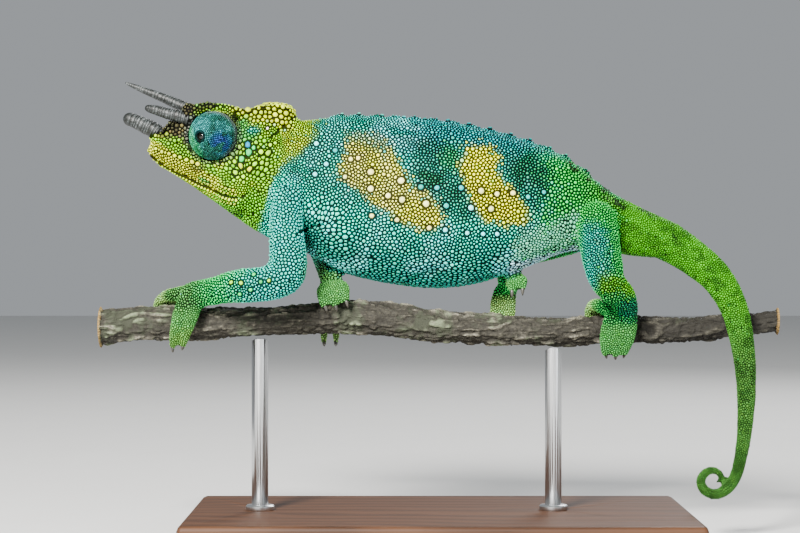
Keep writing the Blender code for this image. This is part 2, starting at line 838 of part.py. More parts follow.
SPINE_CUTS = (
    across((-43.2, 126.0), (-54.5, 90.5)),
    across((-37.0, 127.0), (-50.0, 86.0)),
    across((55.0, 102.0), (52.0, 84.5)),
    ((82.6, 0, 77.4), (0.55, 0, -0.84)),
    ((90.3, 0, 46.0), (0.0, 0, -1.0)),
    ((89.2, 0, 24.0), (0.0, 0, -1.0)),
)
SPINE_NODES = (
    ("head", 2200),
    ("neck", 260),
    ("torso", 1150),
    ("tail_base", 300),
    ("tail_middle", 220),
    ("tail_end", 160),
    ("tail_curl", 460),
)


def part_spine(whole, group):
    nodes = {}
    for i, (name, triangles) in enumerate(SPINE_NODES):
        planes = []
        if i > 0:
            planes.append(flipped(SPINE_CUTS[i - 1]))
        if i < len(SPINE_CUTS):
            planes.append(SPINE_CUTS[i])
        nodes[name] = node_between(whole, name, planes, triangles, group)
    return nodes


# Where each limb is parted: the joint in its middle, the plane that frees the inner toes, the level that
# frees the outer toes, and about how many triangles the four nodes take.
LIMBS = {
    "front_left": {
        "tubes": FRONT_LEFT,
        "names": ("upper_arm", "forearm"),
        "joint": ((-46.4, -17.6, 79.0), (-0.80, 0.05, -0.60)),
        "inner": ((-76.0, 0.2, 72.0), (0.0, 1.0, 0.0)),
        "outer": ((-76.0, -8.0, 68.4), (0.0, 0.0, -1.0)),
        "triangles": (320, 360, 360, 420),
    },
    "front_right": {
        "tubes": FRONT_RIGHT,
        "names": ("upper_arm", "forearm"),
        "joint": ((-36.8, 20.0, 87.8), (0.55, -0.45, -0.70)),
        "inner": ((-32.0, -2.4, 74.0), (0.0, -1.0, 0.0)),
        "outer": ((-33.0, 8.0, 71.0), (0.0, 0.0, -1.0)),
        "triangles": (200, 220, 300, 260),
    },
    "hind_left": {
        "tubes": HIND_LEFT,
        "names": ("thigh", "shin"),
        "joint": ((49.6, -17.2, 75.4), (0.55, 0.55, -0.62)),
        "inner": ((50.0, -2.6, 68.0), (0.0, 1.0, 0.0)),
        "outer": ((53.0, -8.0, 63.8), (0.0, 0.0, -1.0)),
        "triangles": (320, 280, 380, 300),
    },
    "hind_right": {
        "tubes": HIND_RIGHT,
        "names": ("thigh", "shin"),
        "joint": ((22.0, 17.0, 84.2), (-0.55, -0.35, -0.75)),
        "inner": ((22.0, 1.8, 76.0), (0.0, -1.0, 0.0)),
        "outer": ((20.0, 9.0, 72.0), (0.0, 0.0, -1.0)),
        "triangles": (220, 200, 220, 340),
    },
}


def build_limb(side, plan, group):
    """A leg as one smooth form, parted at its middle joint and at the roots of its two bundles of toes."""
    tubes = []
    for label, points in plan["tubes"].items():
        tubes.append(tube(side + "_" + label, points, group))
        first = points[0]
        last = points[-1]
        tubes.append(ball(side + "_root", first[:3], (first[3],) * 3, group, segments=12))
        tubes.append(ball(side + "_tip", last[:3], (last[3],) * 3, group, segments=8))
    whole = fused(side, tubes, LIMB_VOXEL, 2, group)
    upper, lower = plan["names"]
    joint, inner, outer = plan["joint"], plan["inner"], plan["outer"]
    counts = plan["triangles"]
    rows = (
        (upper, [joint, inner], counts[0]),
        (lower, [flipped(joint), inner, outer], counts[1]),
        ("outer_toes", [flipped(joint), inner, flipped(outer)], counts[2]),
        ("inner_toes", [flipped(inner)], counts[3]),
    )
    nodes = {}
    for label, planes, triangles in rows:
        name = side + "_" + label
        nodes[name] = node_between(whole, name, planes, triangles, group)
    bpy.data.objects.remove(whole, do_unlink=True)
    return nodes


def perch_solid(name, extra, group):
    """The cut branch, slightly uneven round its girth. extra swells it all over."""
    rings = []
    path = smooth_path(PERCH, PERCH_STEPS)
    for x, y, z, radius in path:
        ring = []
        for i in range(PERCH_SIDES):
            angle = 2 * math.pi * i / PERCH_SIDES
            wave = PERCH_WAVE * (math.sin(2 * angle + x * 0.09) + 0.6 * math.sin(3 * angle - x * 0.17))
            reach = radius + wave + extra
            ring.append(Vector((x, y + reach * math.cos(angle), z + reach * math.sin(angle))))
        rings.append(ring)
    made = loft(name, rings, group)
    tidy(made)
    return made


def turned(name, profile, direction, centre, group, steps=20):
    """A solid of revolution: profile rows are radius and height, and direction is its axis."""
    bm = bmesh.new()
    verts = [bm.verts.new((radius * MM, 0, height * MM)) for radius, height in profile]
    for a, b in zip(verts, verts[1:]):
        bm.edges.new((a, b))
    made = object_from_bmesh(name, bm, group)
    screw = made.modifiers.new("turn", "SCREW")
    screw.axis = "Z"
    screw.steps = steps
    screw.render_steps = steps
    screw.use_merge_vertices = True
    screw.merge_threshold = 0.00001
    screw.use_smooth_shade = True
    apply_modifiers(made)
    turn = Vector((0, 0, 1)).rotation_difference(Vector(direction).normalized())
    made.data.transform(Matrix.Translation(Vector(centre) * MM) @ turn.to_matrix().to_4x4())
    bm = bmesh.new()
    bm.from_mesh(made.data)
    bmesh.ops.remove_doubles(bm, verts=bm.verts, dist=0.002 * MM)
    bmesh.ops.recalc_face_normals(bm, faces=bm.faces)
    bm.to_mesh(made.data)
    bm.free()
    tidy(made)
    return made


def eye(side, label, group):
    """The turret with its round lid opening, and the eyeball that shows in it."""
    centre = (EYE_CENTRE[0], side * EYE_CENTRE[1], EYE_CENTRE[2])
    gaze = (GAZE[0], side * GAZE[1], GAZE[2])
    top = EYE_RADIUS + LID_HEIGHT
    floor = top - EYE_POCKET_DEPTH
    profile = [(0.0, floor), (LID_OPENING_RADIUS, floor), (LID_OPENING_RADIUS, top - LID_ROUNDING)]
    profile.append((LID_OPENING_RADIUS + LID_ROUNDING, top))
    profile.append((LID_OPENING_RADIUS + LID_WIDTH, top - LID_HEIGHT / 2))
    for degrees in TURRET_DEGREES:
        angle = math.radians(degrees)
        profile.append((EYE_RADIUS * math.sin(angle), EYE_RADIUS * math.cos(angle)))
    profile += [(TURRET_BACK_RADIUS, TURRET_BACK_DEPTH), (0.0, TURRET_BACK_DEPTH)]
    turret = turned("eye_turret_" + label, profile, gaze, centre, group)
    reach = LID_OPENING_RADIUS - GAP
    ball_profile = [(reach * share, top - depth) for share, depth in PUPIL_DOME]
    ball_profile += [(reach, floor + GAP), (0.0, floor + GAP)]
    pupil = turned("eyeball_" + label, ball_profile, gaze, centre, group, steps=12)
    return turret, pupil


def horn(name, points, group):
    made = tube(name, points, group, sides=HORN_SIDES, steps=2)
    tidy(made)
    return made


def lowness(faces):
    """How low a surface lies, with small crumbs ranked last."""
    if len(faces) < CRUMB_FACES:
        return -math.inf
    return -sum(f.calc_center_median().z for f in faces) / len(faces)


def split_jaw(head, group):
    """Part the lower jaw from the head along the mouth line."""
    bm = bmesh.new()
    rows = []
    for x, z in list(MOUTH) + list(JAW_BACK):
        rows.append([bm.verts.new(Vector((x, y, z)) * MM) for y in (-MOUTH_REACH, MOUTH_REACH)])
    for a, b in zip(rows, rows[1:]):
        bm.faces.new((a[0], a[1], b[1], b[0]))
    blade = object_from_bmesh("mouth_blade", bm, group)
    wall = blade.modifiers.new("thickness", "SOLIDIFY")
    wall.thickness = MOUTH_GAP * MM
    wall.offset = 0
    apply_modifiers(blade)
    boolean(head, blade, "DIFFERENCE")
    jaw = new_object("lower_jaw", head.data.copy(), head.users_collection[0])
    tidy(jaw, lowness)
    tidy(head)
    bpy.data.objects.remove(blade, do_unlink=True)
    return jaw


def nostrils(head, group):
    for side in (-1, 1):
        spot = (NOSTRIL[0], side * NOSTRIL[1], NOSTRIL[2])
        pit = ball("nostril", spot, (NOSTRIL_RADIUS * 1.3, NOSTRIL_RADIUS * 1.5, NOSTRIL_RADIUS), group, 8)
        boolean(head, pit, "DIFFERENCE")
        bpy.data.objects.remove(pit, do_unlink=True)
    tidy(head)


def stand(perch_space, group, cutters):
    """A flat base with two short rods, each seated in a socket and hollowed to the perch above it."""
    bpy.ops.mesh.primitive_cube_add(size=1, location=(0, 0, BASE_SIZE[2] / 2 * MM))
    base = bpy.context.active_object
    base.name = "stand_base"
    for owner in list(base.users_collection):
        owner.objects.unlink(base)
    group.objects.link(base)
    base.data.transform(Matrix.Diagonal((*[s * MM for s in BASE_SIZE], 1)))
    edge = base.modifiers.new("edge", "BEVEL")
    edge.width = BASE_BEVEL * MM
    edge.segments = 2
    apply_modifiers(base)
    base.data.transform(base.matrix_world)
    base.location = (0, 0, 0)
    nodes = {"stand_base": base}
    for name, x in ROD_X.items():
        low = BASE_SIZE[2] - SOCKET_DEPTH
        y, top = perch_centre(x)
        socket = cylinder("socket", x, y, low, BASE_SIZE[2] + 2, ROD_RADIUS + GAP, cutters)
        boolean(base, socket, "DIFFERENCE")
        bpy.data.objects.remove(socket, do_unlink=True)
        rod = cylinder(name, x, y, low + GAP, top, ROD_RADIUS, group)
        boolean(rod, perch_space, "DIFFERENCE")
        tidy(rod)
        nodes[name] = rod
    tidy(base)
    return nodes


def perch_centre(x):
    rows = smooth_path(PERCH, PERCH_STEPS)
    return float(np.interp(x, rows[:, 0], rows[:, 1])), float(np.interp(x, rows[:, 0], rows[:, 2]))


def cylinder(name, x, y, low, top, radius, group):
    bm = bmesh.new()
    height = top - low
    bmesh.ops.create_cone(
        bm, cap_ends=True, segments=24, radius1=radius * MM, radius2=radius * MM, depth=height * MM
    )
    bmesh.ops.translate(bm, vec=Vector((x, y, low + height / 2)) * MM, verts=bm.verts)
    return object_from_bmesh(name, bm, group)


def finish_node(obj, name, look):
    obj.name = name
    obj.data.name = name
    obj.data.materials.clear()
    made = material(look)
    made.name = name
    obj.data.materials.append(made)
    obj.data.shade_smooth()
    obj.data.set_sharp_from_angle(angle=math.radians(40))


def build():
    clear_scene()
    parts = collection("chameleon")
    cutters = collection("cutters", hidden=True)

    perch = perch_solid("perch", 0.0, parts)
    perch_space = perch_solid("perch_space", GAP, cutters)

    whole = whole_spine(cutters)
    nodes = part_spine(whole, parts)
    bpy.data.objects.remove(whole, do_unlink=True)
    add_crest(nodes["torso"], cutters)

    looks = {name: "flesh" for name in nodes}
    looks["head"] = "head"
    looks.update({name: "tail" for name in nodes if name.startswith("tail")})

    for side, plan in LIMBS.items():
        limb = build_limb(side, plan, parts)
        for name, node in limb.items():
            boolean(node, perch_space, "DIFFERENCE")
            tidy(node)
            looks[name] = "limb"
        root = limb[side + "_" + plan["names"][0]]
        touched = ("neck", "torso", "head") if side.startswith("front") else ("torso", "tail_base")
        for name in touched:
            cut_clear(nodes[name], [root], cutters)
        nodes.update(limb)

    horns = {
        "horn_rostral": horn("horn_rostral", HORN_ROSTRAL, parts),
        "horn_left": horn("horn_left", HORN_LEFT, parts),
        "horn_right": horn("horn_right", HORN_RIGHT, parts),
    }
    head = nodes["head"]
    cut_clear(head, list(horns.values()), cutters)
    looks.update({name: "horn" for name in horns})
    nodes.update(horns)

    for side, label in ((-1, "left"), (1, "right")):
        turret, pupil = eye(side, label, parts)
        cut_clear(head, [turret], cutters)
        nodes[turret.name] = turret
        nodes[pupil.name] = pupil
        looks[turret.name] = "eye"
        looks[pupil.name] = "eyeball"

    nostrils(head, cutters)
    nodes["lower_jaw"] = split_jaw(head, cutters)
    looks["lower_jaw"] = "head"

    nodes["perch"] = perch
    looks["perch"] = "bark"
    for name, node in stand(perch_space, parts, cutters).items():
        nodes[name] = node
        looks[name] = "base" if name == "stand_base" else "rod"
    bpy.data.objects.remove(perch_space, do_unlink=True)

    for name, node in nodes.items():
        finish_node(node, name, looks[name])


build()
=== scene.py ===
"""Looks of a male Jackson's chameleon, a life-size museum model on a cut perch and a display stand."""

import json
import math

import bmesh
import bpy
import numpy as np
from mathutils import Matrix, Vector
from mathutils.bvhtree import BVHTree

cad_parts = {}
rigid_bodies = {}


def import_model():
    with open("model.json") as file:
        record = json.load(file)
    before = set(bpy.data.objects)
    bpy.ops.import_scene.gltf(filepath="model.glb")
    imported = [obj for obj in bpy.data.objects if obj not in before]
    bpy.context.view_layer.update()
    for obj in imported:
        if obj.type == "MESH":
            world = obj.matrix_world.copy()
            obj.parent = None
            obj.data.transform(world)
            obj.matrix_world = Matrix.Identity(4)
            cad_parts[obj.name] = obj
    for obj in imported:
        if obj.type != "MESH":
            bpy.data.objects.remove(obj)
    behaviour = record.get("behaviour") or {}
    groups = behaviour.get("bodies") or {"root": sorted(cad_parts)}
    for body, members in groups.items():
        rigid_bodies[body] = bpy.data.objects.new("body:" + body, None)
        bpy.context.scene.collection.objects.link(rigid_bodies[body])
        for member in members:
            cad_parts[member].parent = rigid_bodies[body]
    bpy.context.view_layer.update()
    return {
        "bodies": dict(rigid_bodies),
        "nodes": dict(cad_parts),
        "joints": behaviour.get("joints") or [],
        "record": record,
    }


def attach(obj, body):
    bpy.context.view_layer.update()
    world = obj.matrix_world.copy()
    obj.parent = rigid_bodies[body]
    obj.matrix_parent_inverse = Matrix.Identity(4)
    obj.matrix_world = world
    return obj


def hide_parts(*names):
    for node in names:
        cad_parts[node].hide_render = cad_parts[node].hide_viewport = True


MM = 0.001
SEED = 20261
MERGE = 0.001

TOES = ("outer_toes", "inner_toes")
LIMB_PARTS = {"front": ("upper_arm", "forearm", *TOES), "hind": ("thigh", "shin", *TOES)}
FRONT_NODES, HIND_NODES = (
    tuple(end + "_" + side + "_" + part for side in ("left", "right") for part in parts)
    for end, parts in LIMB_PARTS.items()
)
HEAD_NODES = ("head", "lower_jaw")
TRUNK_NODES = ("neck", "torso")
TAIL_NODES = ("tail_base", "tail_middle", "tail_end", "tail_curl")
LIMB_NODES = FRONT_NODES + HIND_NODES
FLESH_NODES = HEAD_NODES + TRUNK_NODES + TAIL_NODES + LIMB_NODES

# Skin: how far the solids are swollen to close their cuts, the grain of the melted skin, its rounds of
# smoothing, the rounds that soften where parts meet, and how deep it lies under its coat on each part.
SWELL = 0.3
SKIN_GRAIN = 0.615
SKIN_ROUNDS = 5
SOFT_ROUNDS = {"head": 17, "limb": 17, "foot": 4, "tail": 17}
COAT_DEPTH = {"body": 0.42, "head": 0.36, "limb": 0.30, "foot": 0.16, "tail": 0.26}
THIN_TAIL = 0.12
# How far short of its claw the skin of a toe is cut back, and how much of what is past that is drawn in.
TOE_CUT = 1.2
TOE_DRAWN = 0.82

# Mouth line on the left cheek, from the snout to the corner: x, z.
MOUTH_LINE = (
    (-88.2, 115.0), (-86.4, 113.9), (-84.4, 112.6), (-82.1, 110.9), (-80.0, 109.8), (-78.0, 108.9),
    (-75.9, 107.9), (-74.0, 106.9), (-71.2, 105.5), (-68.3, 104.3), (-66.4, 103.2), (-64.5, 102.2),
    (-62.3, 101.6), (-60.4, 101.4), (-58.5, 101.8), (-56.4, 103.0),
)
# Fold of skin above the corner of the mouth, and the groove behind the casque: x, z.
LIP_FOLD = ((-72.2, 111.4), (-69.5, 111.0), (-67.4, 109.7), (-65.4, 108.5), (-63.5, 106.9), (-62.3, 105.2))
CASQUE_GROOVE = ((-42.6, 126.6), (-45.2, 124.2), (-47.9, 121.9), (-49.1, 120.7), (-50.6, 119.4))

# The right eye: centre, radius of its orbit, the turret's radius, the swelling round its lids, and the gaze.
EYE_CENTRE = (-67.4, 6.4, 119.9)
EYE_RADIUS = 7.4
TURRET_RADIUS = 7.14
TURRET_CONE = 0.42
GAZE = (-0.475, 0.877, -0.077)

# Flesh that closes the head round the horns and between snout, brow and eye: x, distance from the middle,
# z, radius.
HEAD_LUMPS = (
    (-74.0, 4.9, 125.2, 2.75), (-75.4, 4.9, 125.5, 2.45), (-73.4, 4.9, 127.2, 2.3),
    (-75.0, 4.7, 127.9, 2.15), (-75.2, 3.6, 122.9, 2.5), (-78.0, 2.8, 121.6, 2.5),
    (-71.6, 2.6, 126.6, 2.8), (-75.4, 0.0, 124.6, 2.8), (-79.4, 0.0, 121.6, 2.9),
    (-83.4, 0.0, 119.6, 3.1), (-84.9, 0.0, 120.9, 2.95),
)

# Folds pressed into the flesh of both sides: depth, width, then a path of x, z.
ARMPIT = ((-42.0, 90.8), (-39.8, 92.2), (-37.4, 93.0), (-35.2, 93.2))
FOLDS = (
    (1.5, 0.6, ARMPIT),
    (0.8, 0.5, ((-41.5, 94.6), (-40.4, 97.6), (-40.6, 100.6), (-41.8, 103.4))),
    (0.7, 0.5, ((-39.2, 94.4), (-37.9, 97.4), (-37.7, 100.4))),
    (0.6, 0.45, ((-36.8, 94.2), (-35.2, 96.6), (-34.6, 99.2))),
    (0.8, 0.6, ((-10.4, 76.3), (-6.6, 78.2), (-1.4, 80.2), (3.4, 81.6))),
    (0.3, 0.5, ((-16.0, 79.0), (-9.0, 81.6), (-2.0, 83.4))),
    (0.7, 0.6, ((23.0, 80.6), (30.0, 82.2), (36.6, 84.8), (40.8, 88.4))),
    (0.35, 0.5, ((27.0, 84.6), (33.4, 86.4), (39.0, 90.4))),
    (0.3, 0.5, ((30.2, 88.6), (35.0, 90.4), (38.6, 94.0))),
    (0.4, 0.5, ((-47.5, 104.6), (-49.4, 101.2), (-50.2, 97.6))),
    (0.35, 0.5, ((-50.4, 105.0), (-52.4, 101.6), (-53.2, 99.0))),
    (0.35, 0.5, ((-44.4, 106.4), (-46.0, 102.4), (-46.8, 98.0))),
    (0.3, 0.45, ((-57.0, 101.0), (-54.4, 98.6), (-51.6, 95.6))),
    (0.35, 0.6, ((-43.4, 124.0), (-44.4, 118.0), (-45.6, 112.0))),
)
NOSTRIL = ((-79.7, 117.2), (-78.5, 118.0))
# Grooves pressed into the head: depth, width, path, how far from the middle, and the share pressed nearer in.
HEAD_GROOVES = (
    (0.95, 0.55, MOUTH_LINE, 1.2, 0.6),
    (0.45, 0.6, LIP_FOLD, 3, 0),
    (0.7, 0.7, CASQUE_GROOVE, 1.5, 0),
    (1.1, 0.38, NOSTRIL, 1.2, 0),
)
# Creases round the eye: depth, distance out from the orbit, width.
EYE_CREASES = ((0.25, 0.0, 0.4), (0.22, 1.9, 0.35))
# Bare skin kept on each side of the mouth, nostril, armpit and casque groove, and round the horns.
BARE_MOUTH = 0.34
BARE_NOSTRIL = 0.5
BARE_ARMPIT = 0.42
BARE_GROOVE = 0.36
BARE_HORN = 0.12
# Behind this x, at the corner of the mouth, the skin is covered again.
MOUTH_END = -57.2
# The row of large oval scales along the upper lip, x, z, their size, and where the small rows end.
LIP_ROW = (
    (-84.8, 116.0), (-82.9, 115.2), (-80.9, 114.6), (-79.1, 114.0), (-77.4, 113.5), (-75.6, 112.8),
    (-73.8, 112.1), (-72.2, 111.5),
)
LIP_SIZE = 0.95
LIP_END = -60.5
# Rows of small scales that follow the mouth: distance above it, half a scale's spacing.
LIP_SHELVES = ((0.92, 0.58), (2.08, 0.60), (-0.85, 0.52), (-1.85, 0.52))
# Large oval scales on the brow over each eye: x, distance from the middle, z, radius.
BROW_ROW = (
    (-71.0, 4.8, 129.3, 0.85), (-69.2, 5.0, 129.7, 0.9), (-67.2, 5.2, 129.8, 0.95),
    (-65.0, 5.4, 129.6, 1.0), (-62.8, 5.6, 129.2, 1.0), (-60.7, 5.7, 128.5, 0.95),
    (-58.8, 5.7, 127.6, 0.95),
)
# Cones along the back: x, half-width.
CREST = (
    (-36.0, 0.55), (-32.6, 0.6), (-29.4, 0.85), (-26.8, 0.55), (-24.3, 0.9), (-20.8, 0.6), (-17.4, 0.95),
    (-14.0, 0.6), (-10.8, 1.0), (-7.6, 0.6), (-4.5, 0.95), (-1.0, 0.6), (2.4, 1.0), (5.6, 0.6),
    (8.7, 0.95), (11.8, 0.6), (15.0, 0.95), (18.2, 0.6), (21.3, 0.9), (24.2, 0.55), (27.0, 0.85),
    (30.0, 0.55), (33.0, 0.8), (35.4, 0.5), (37.8, 0.75), (41.4, 0.7), (44.6, 0.6), (47.6, 0.6),
    (50.6, 0.55), (53.6, 0.5), (56.6, 0.5), (59.6, 0.45),
)

# Horns from root to tip, x, y, z, radius, the spacing of their rings, and how a tip is rounded off: how far
# on and how wide, in shares of the last radius.
HORN_PATHS = {
    "horn_rostral": (
        (-82.6, 0.0, 119.3, 2.6), (-85.4, 0.0, 121.7, 2.55), (-88.6, 0.0, 123.3, 2.4),
        (-91.4, 0.0, 124.6, 2.15), (-93.6, 0.0, 125.4, 2.0), (-94.6, 0.0, 125.7, 1.65),
    ),
    "horn_left": (
        (-73.6, -4.9, 124.7, 2.2), (-76.8, -4.9, 125.6, 2.0), (-80.4, -4.9, 126.4, 1.75),
        (-84.2, -4.9, 127.5, 1.5), (-86.7, -4.9, 128.1, 1.2), (-87.6, -4.9, 128.3, 0.7),
    ),
    "horn_right": (
        (-72.4, 4.9, 127.0, 2.1), (-76.4, 4.9, 128.8, 1.9), (-82.4, 4.9, 131.5, 1.5),
        (-88.4, 4.9, 133.9, 1.1), (-92.6, 4.9, 135.6, 0.7), (-95.0, 4.9, 136.6, 0.35),
    ),
}
HORN_RING = {"horn_rostral": 0.92, "horn_left": 0.80, "horn_right": 0.84}
ROUND_END = ((0.35, 0.92), (0.65, 0.72), (0.85, 0.48), (0.97, 0.18))

# Where each claw starts and points: the last two places on a toe, x, y, z twice.
CLAW_ROOTS = {
    "front_left_outer_toes": (
        (-79.5, -6.9, 57.9, -79.6, -6.0, 55.8),
        (-76.3, -6.9, 58.2, -76.8, -6.0, 56.4),
    ),
    "front_left_inner_toes": (
        (-86.0, 7.8, 64.4, -85.6, 6.9, 61.9),
        (-83.0, 8.0, 64.1, -82.7, 7.1, 61.3),
        (-80.0, 8.1, 63.8, -79.7, 7.2, 61.0),
    ),
    "front_right_outer_toes": (
        (-35.0, 6.2, 58.6, -34.9, 4.8, 57.2),
        (-31.4, 6.2, 58.6, -31.4, 4.8, 57.2),
    ),
    "front_right_inner_toes": (
        (-34.2, -7.6, 69.2, -33.8, -7.8, 68.2),
        (-31.1, -7.6, 69.4, -30.8, -7.8, 68.4),
        (-27.9, -7.3, 70.6, -27.6, -7.6, 69.6),
    ),
    "hind_left_outer_toes": (
        (49.0, -7.2, 56.2, 49.4, -6.0, 54.0),
        (51.9, -7.2, 55.9, 52.1, -5.9, 53.6),
        (54.7, -7.2, 56.2, 54.5, -5.9, 54.1),
    ),
    "hind_left_inner_toes": (
        (45.1, 7.5, 63.4, 45.3, 6.9, 59.8),
        (48.8, 7.8, 63.4, 48.9, 7.1, 59.8),
    ),
    "hind_right_outer_toes": (
        (16.7, 7.6, 60.2, 16.8, 6.0, 57.6),
        (19.2, 7.6, 60.0, 19.2, 6.0, 57.4),
        (21.7, 7.6, 60.0, 21.7, 6.0, 57.4),
    ),
    "hind_right_inner_toes": (
        (21.5, -3.0, 74.0, 21.4, -3.5, 72.6),
        (24.6, -3.0, 74.6, 24.6, -3.5, 73.2),
    ),
}
# A claw from its root in the toe: along, aside, radius. It bends toward the middle of the perch.
CLAW_SHAPE = (
    (-1.9, 0.0, 0.55), (-1.1, -0.12, 0.58), (-0.5, -0.08, 0.50), (0.05, 0.10, 0.38), (0.45, 0.42, 0.24),
    (0.62, 0.80, 0.05),
)
PERCH_HEIGHT = 63.0

# Turned profiles along the gaze, radius and distance from the eye's centre, and the spacing of the granules.
LID_EDGE = ((1.22, 5.9), (1.18, 6.6), (1.13, 7.15), (1.15, 7.38), (1.26, 7.52), (1.42, 7.56), (1.58, 7.50))
EYEBALL = (
    (0.0, 7.16), (0.25, 7.15), (0.5, 7.10), (0.75, 7.01), (1.0, 6.88), (1.2, 6.72), (1.4, 6.48), (1.6, 6.1),
    (1.7, 5.6),
)
GRANULE = 0.56
# Angles from the gaze between which the turret's skin and its granules lie.
TURRET_SKIN = (0.225, 2.05)
TURRET_RINGS = (0.285, 1.98)
# The turret's granules: gap between them, height, sink, spread of size and of light, and the share of the
# marking's colour left on the skin between them and at their rims, where shade is painted.
TURRET_GAP = 0.10
TURRET_HEIGHT, TURRET_SINK = 0.15, 0.06
TURRET_SIZES = 0.12
TURRET_LIGHTS = 0.42
TURRET_GAP_SHADE, TURRET_RIM_SHADE = 0.07, 0.12

# Bark: the grain of its melted mesh, and its knot's x, y, z.
BARK_GRAIN = 0.42
KNOT = (63.0, -6.0, 62.0)
# Collar round the foot of each rod: height above the base, radius.
COLLAR = ((0.05, 3.2), (0.05, 4.1), (0.35, 4.3), (1.2, 4.3), (1.6, 4.0), (1.75, 3.4), (1.75, 2.6))

# Markings on the flanks, as closed outlines in the side view: x, z.
FRONT_PATCH = (
    (-28.2, 120.7), (-21.7, 121.0), (-16.6, 119.9), (-14.6, 117.0), (-12.1, 111.1), (-7.9, 105.3),
    (-1.2, 98.6), (0.4, 93.3), (-4.6, 92.1), (-12.0, 94.7), (-20.2, 99.2), (-26.7, 104.5), (-29.7, 108.0),
    (-28.2, 112.4), (-26.7, 116.8),
)
REAR_PATCH = (
    (7.1, 116.8), (15.1, 116.8), (18.0, 113.9), (17.5, 109.5), (20.4, 105.1), (25.4, 97.1), (24.8, 94.2),
    (18.9, 92.7), (13.0, 94.2), (9.2, 99.2), (7.1, 105.1), (5.7, 111.0),
)
FRONT_SHADE = (
    (-12.6, 118.9), (-3.2, 119.5), (6.3, 115.4), (5.7, 108.9), (7.4, 102.1), (10.4, 96.2), (6.3, 94.2),
    (1.6, 97.1), (-3.2, 102.1), (-7.9, 108.9), (-8.5, 115.4),
)
REAR_SHADE = (
    (18.9, 115.4), (27.8, 115.4), (32.8, 109.5), (31.6, 102.1), (29.2, 97.1), (25.7, 98.3), (21.0, 105.4),
    (18.0, 110.1),
)

# Dark brow, pale groin and the lilac strip below it, as paths of x, z.
BROW_DARK = ((-79.0, 124.5), (-75.0, 127.0), (-71.0, 129.0), (-67.5, 129.4))
GROIN_PATH = ((26.0, 86.0), (33.0, 89.5), (40.0, 92.0))
LILAC_PATH = ((22.0, 80.6), (28.0, 81.6), (34.0, 83.4), (39.9, 85.6), (42.4, 82.0))
# Lower edge of the green of the neck: x, then z.
NECK_EDGE = ((-52.6, -50.6, -46.5, -42.0, -38.0, -35.0), (98.0, 106.0, 111.5, 114.5, 118.5, 120.5))
# Grey smudges where the body runs into the tail: x, z, radius.
SMUDGES = (
    (40.5, 112.0, 2.6), (48.6, 103.8, 2.8), (53.6, 98.8, 2.5), (44.4, 108.4, 1.8), (60.6, 98.6, 2.0),
    (69.4, 89.6, 1.8),
)

# Scales: how many for the skin's area, rounds of pushing apart, how far crowding is felt, the share of a lack
# that one push makes good, and the extra room of chosen scales.
PACKING = 1.03
PACK_TURNS = 21
CROWD_REACH = 2.3
PUSH = 0.42
CHOSEN_ROOM = 1.06
# How far off a neighbour still shapes a scale, and what is left between a large scale and its neighbours.
NEIGHBOUR_REACH = 2.6
CHOSEN_BETWEEN = 0.16
# How much longer drawn-out scales are, and where they fan out from in the side view: place, inner and outer
# distance, strength.
STRETCH = 0.7
STREAK_CENTRES = (
    ((-58.4, 105.6), 2.0, 15.0, 0.85),
    ((-39.5, 90.0), 2.0, 14.0, 0.9),
    ((43.0, 84.0), 3.0, 15.0, 0.8),
)
# Bare skin between scales on each part, and round the large ones.
SCALE_GAPS = {"head": 0.30, "tail": 0.11, "limb": 0.34, "foot": 0.16}
CHOSEN_GAP = 1.05
# A scale's form: its sides, its shoulder's width and height as shares of rim and crown, its patch on the map.
SCALE_SIDES = 8
SHOULDER = 0.78
SHOULDER_HEIGHT = 0.72
UV_PATCH = 0.003
# Its height as a share of its mean reach, least and most, and how far it may rise above the solid's surface.
SCALE_HEIGHT = 0.56
LEAST_HEIGHT, MOST_HEIGHT = 0.08, 0.75
PROUD = 0.25
# Its rim's depth under the skin: the least, and a share of its reach. The crest's height and backward lean.
SINK_LEAST, SINK_SHARE = 0.12, 0.10
CREST_HEIGHT = 0.60
CREST_LEAN = 0.25
# Legs forward of this x are front legs.
LEG_SPLIT = -8
# How scales differ: where they take their marking from, in millimetres, their light, warmth and size.
STRAY = 0.95
LIGHT_SPREAD = 0.17
WARM_SPREAD = 0.07
SIZE_SPREAD = 0.16
# Light of the cones along the back beside that of the marking under them.
CREST_LIGHT = 0.6
# Share of a marking's colour that is left in the gaps between scales, where the bare skin is darker and shade
# is painted.
GAP_SHADE = {"body": 0.022, "head": 0.03, "limb": 0.03, "tail": 0.14, "foot": 0.13}
# Marks of the scales chosen for the lips, the brow and the back, and how far out their places are looked up.
LIP, BROW, RIDGE = 1000, 1001, 1002
FROM_SIDE = 40.0
FROM_ABOVE = 145.0
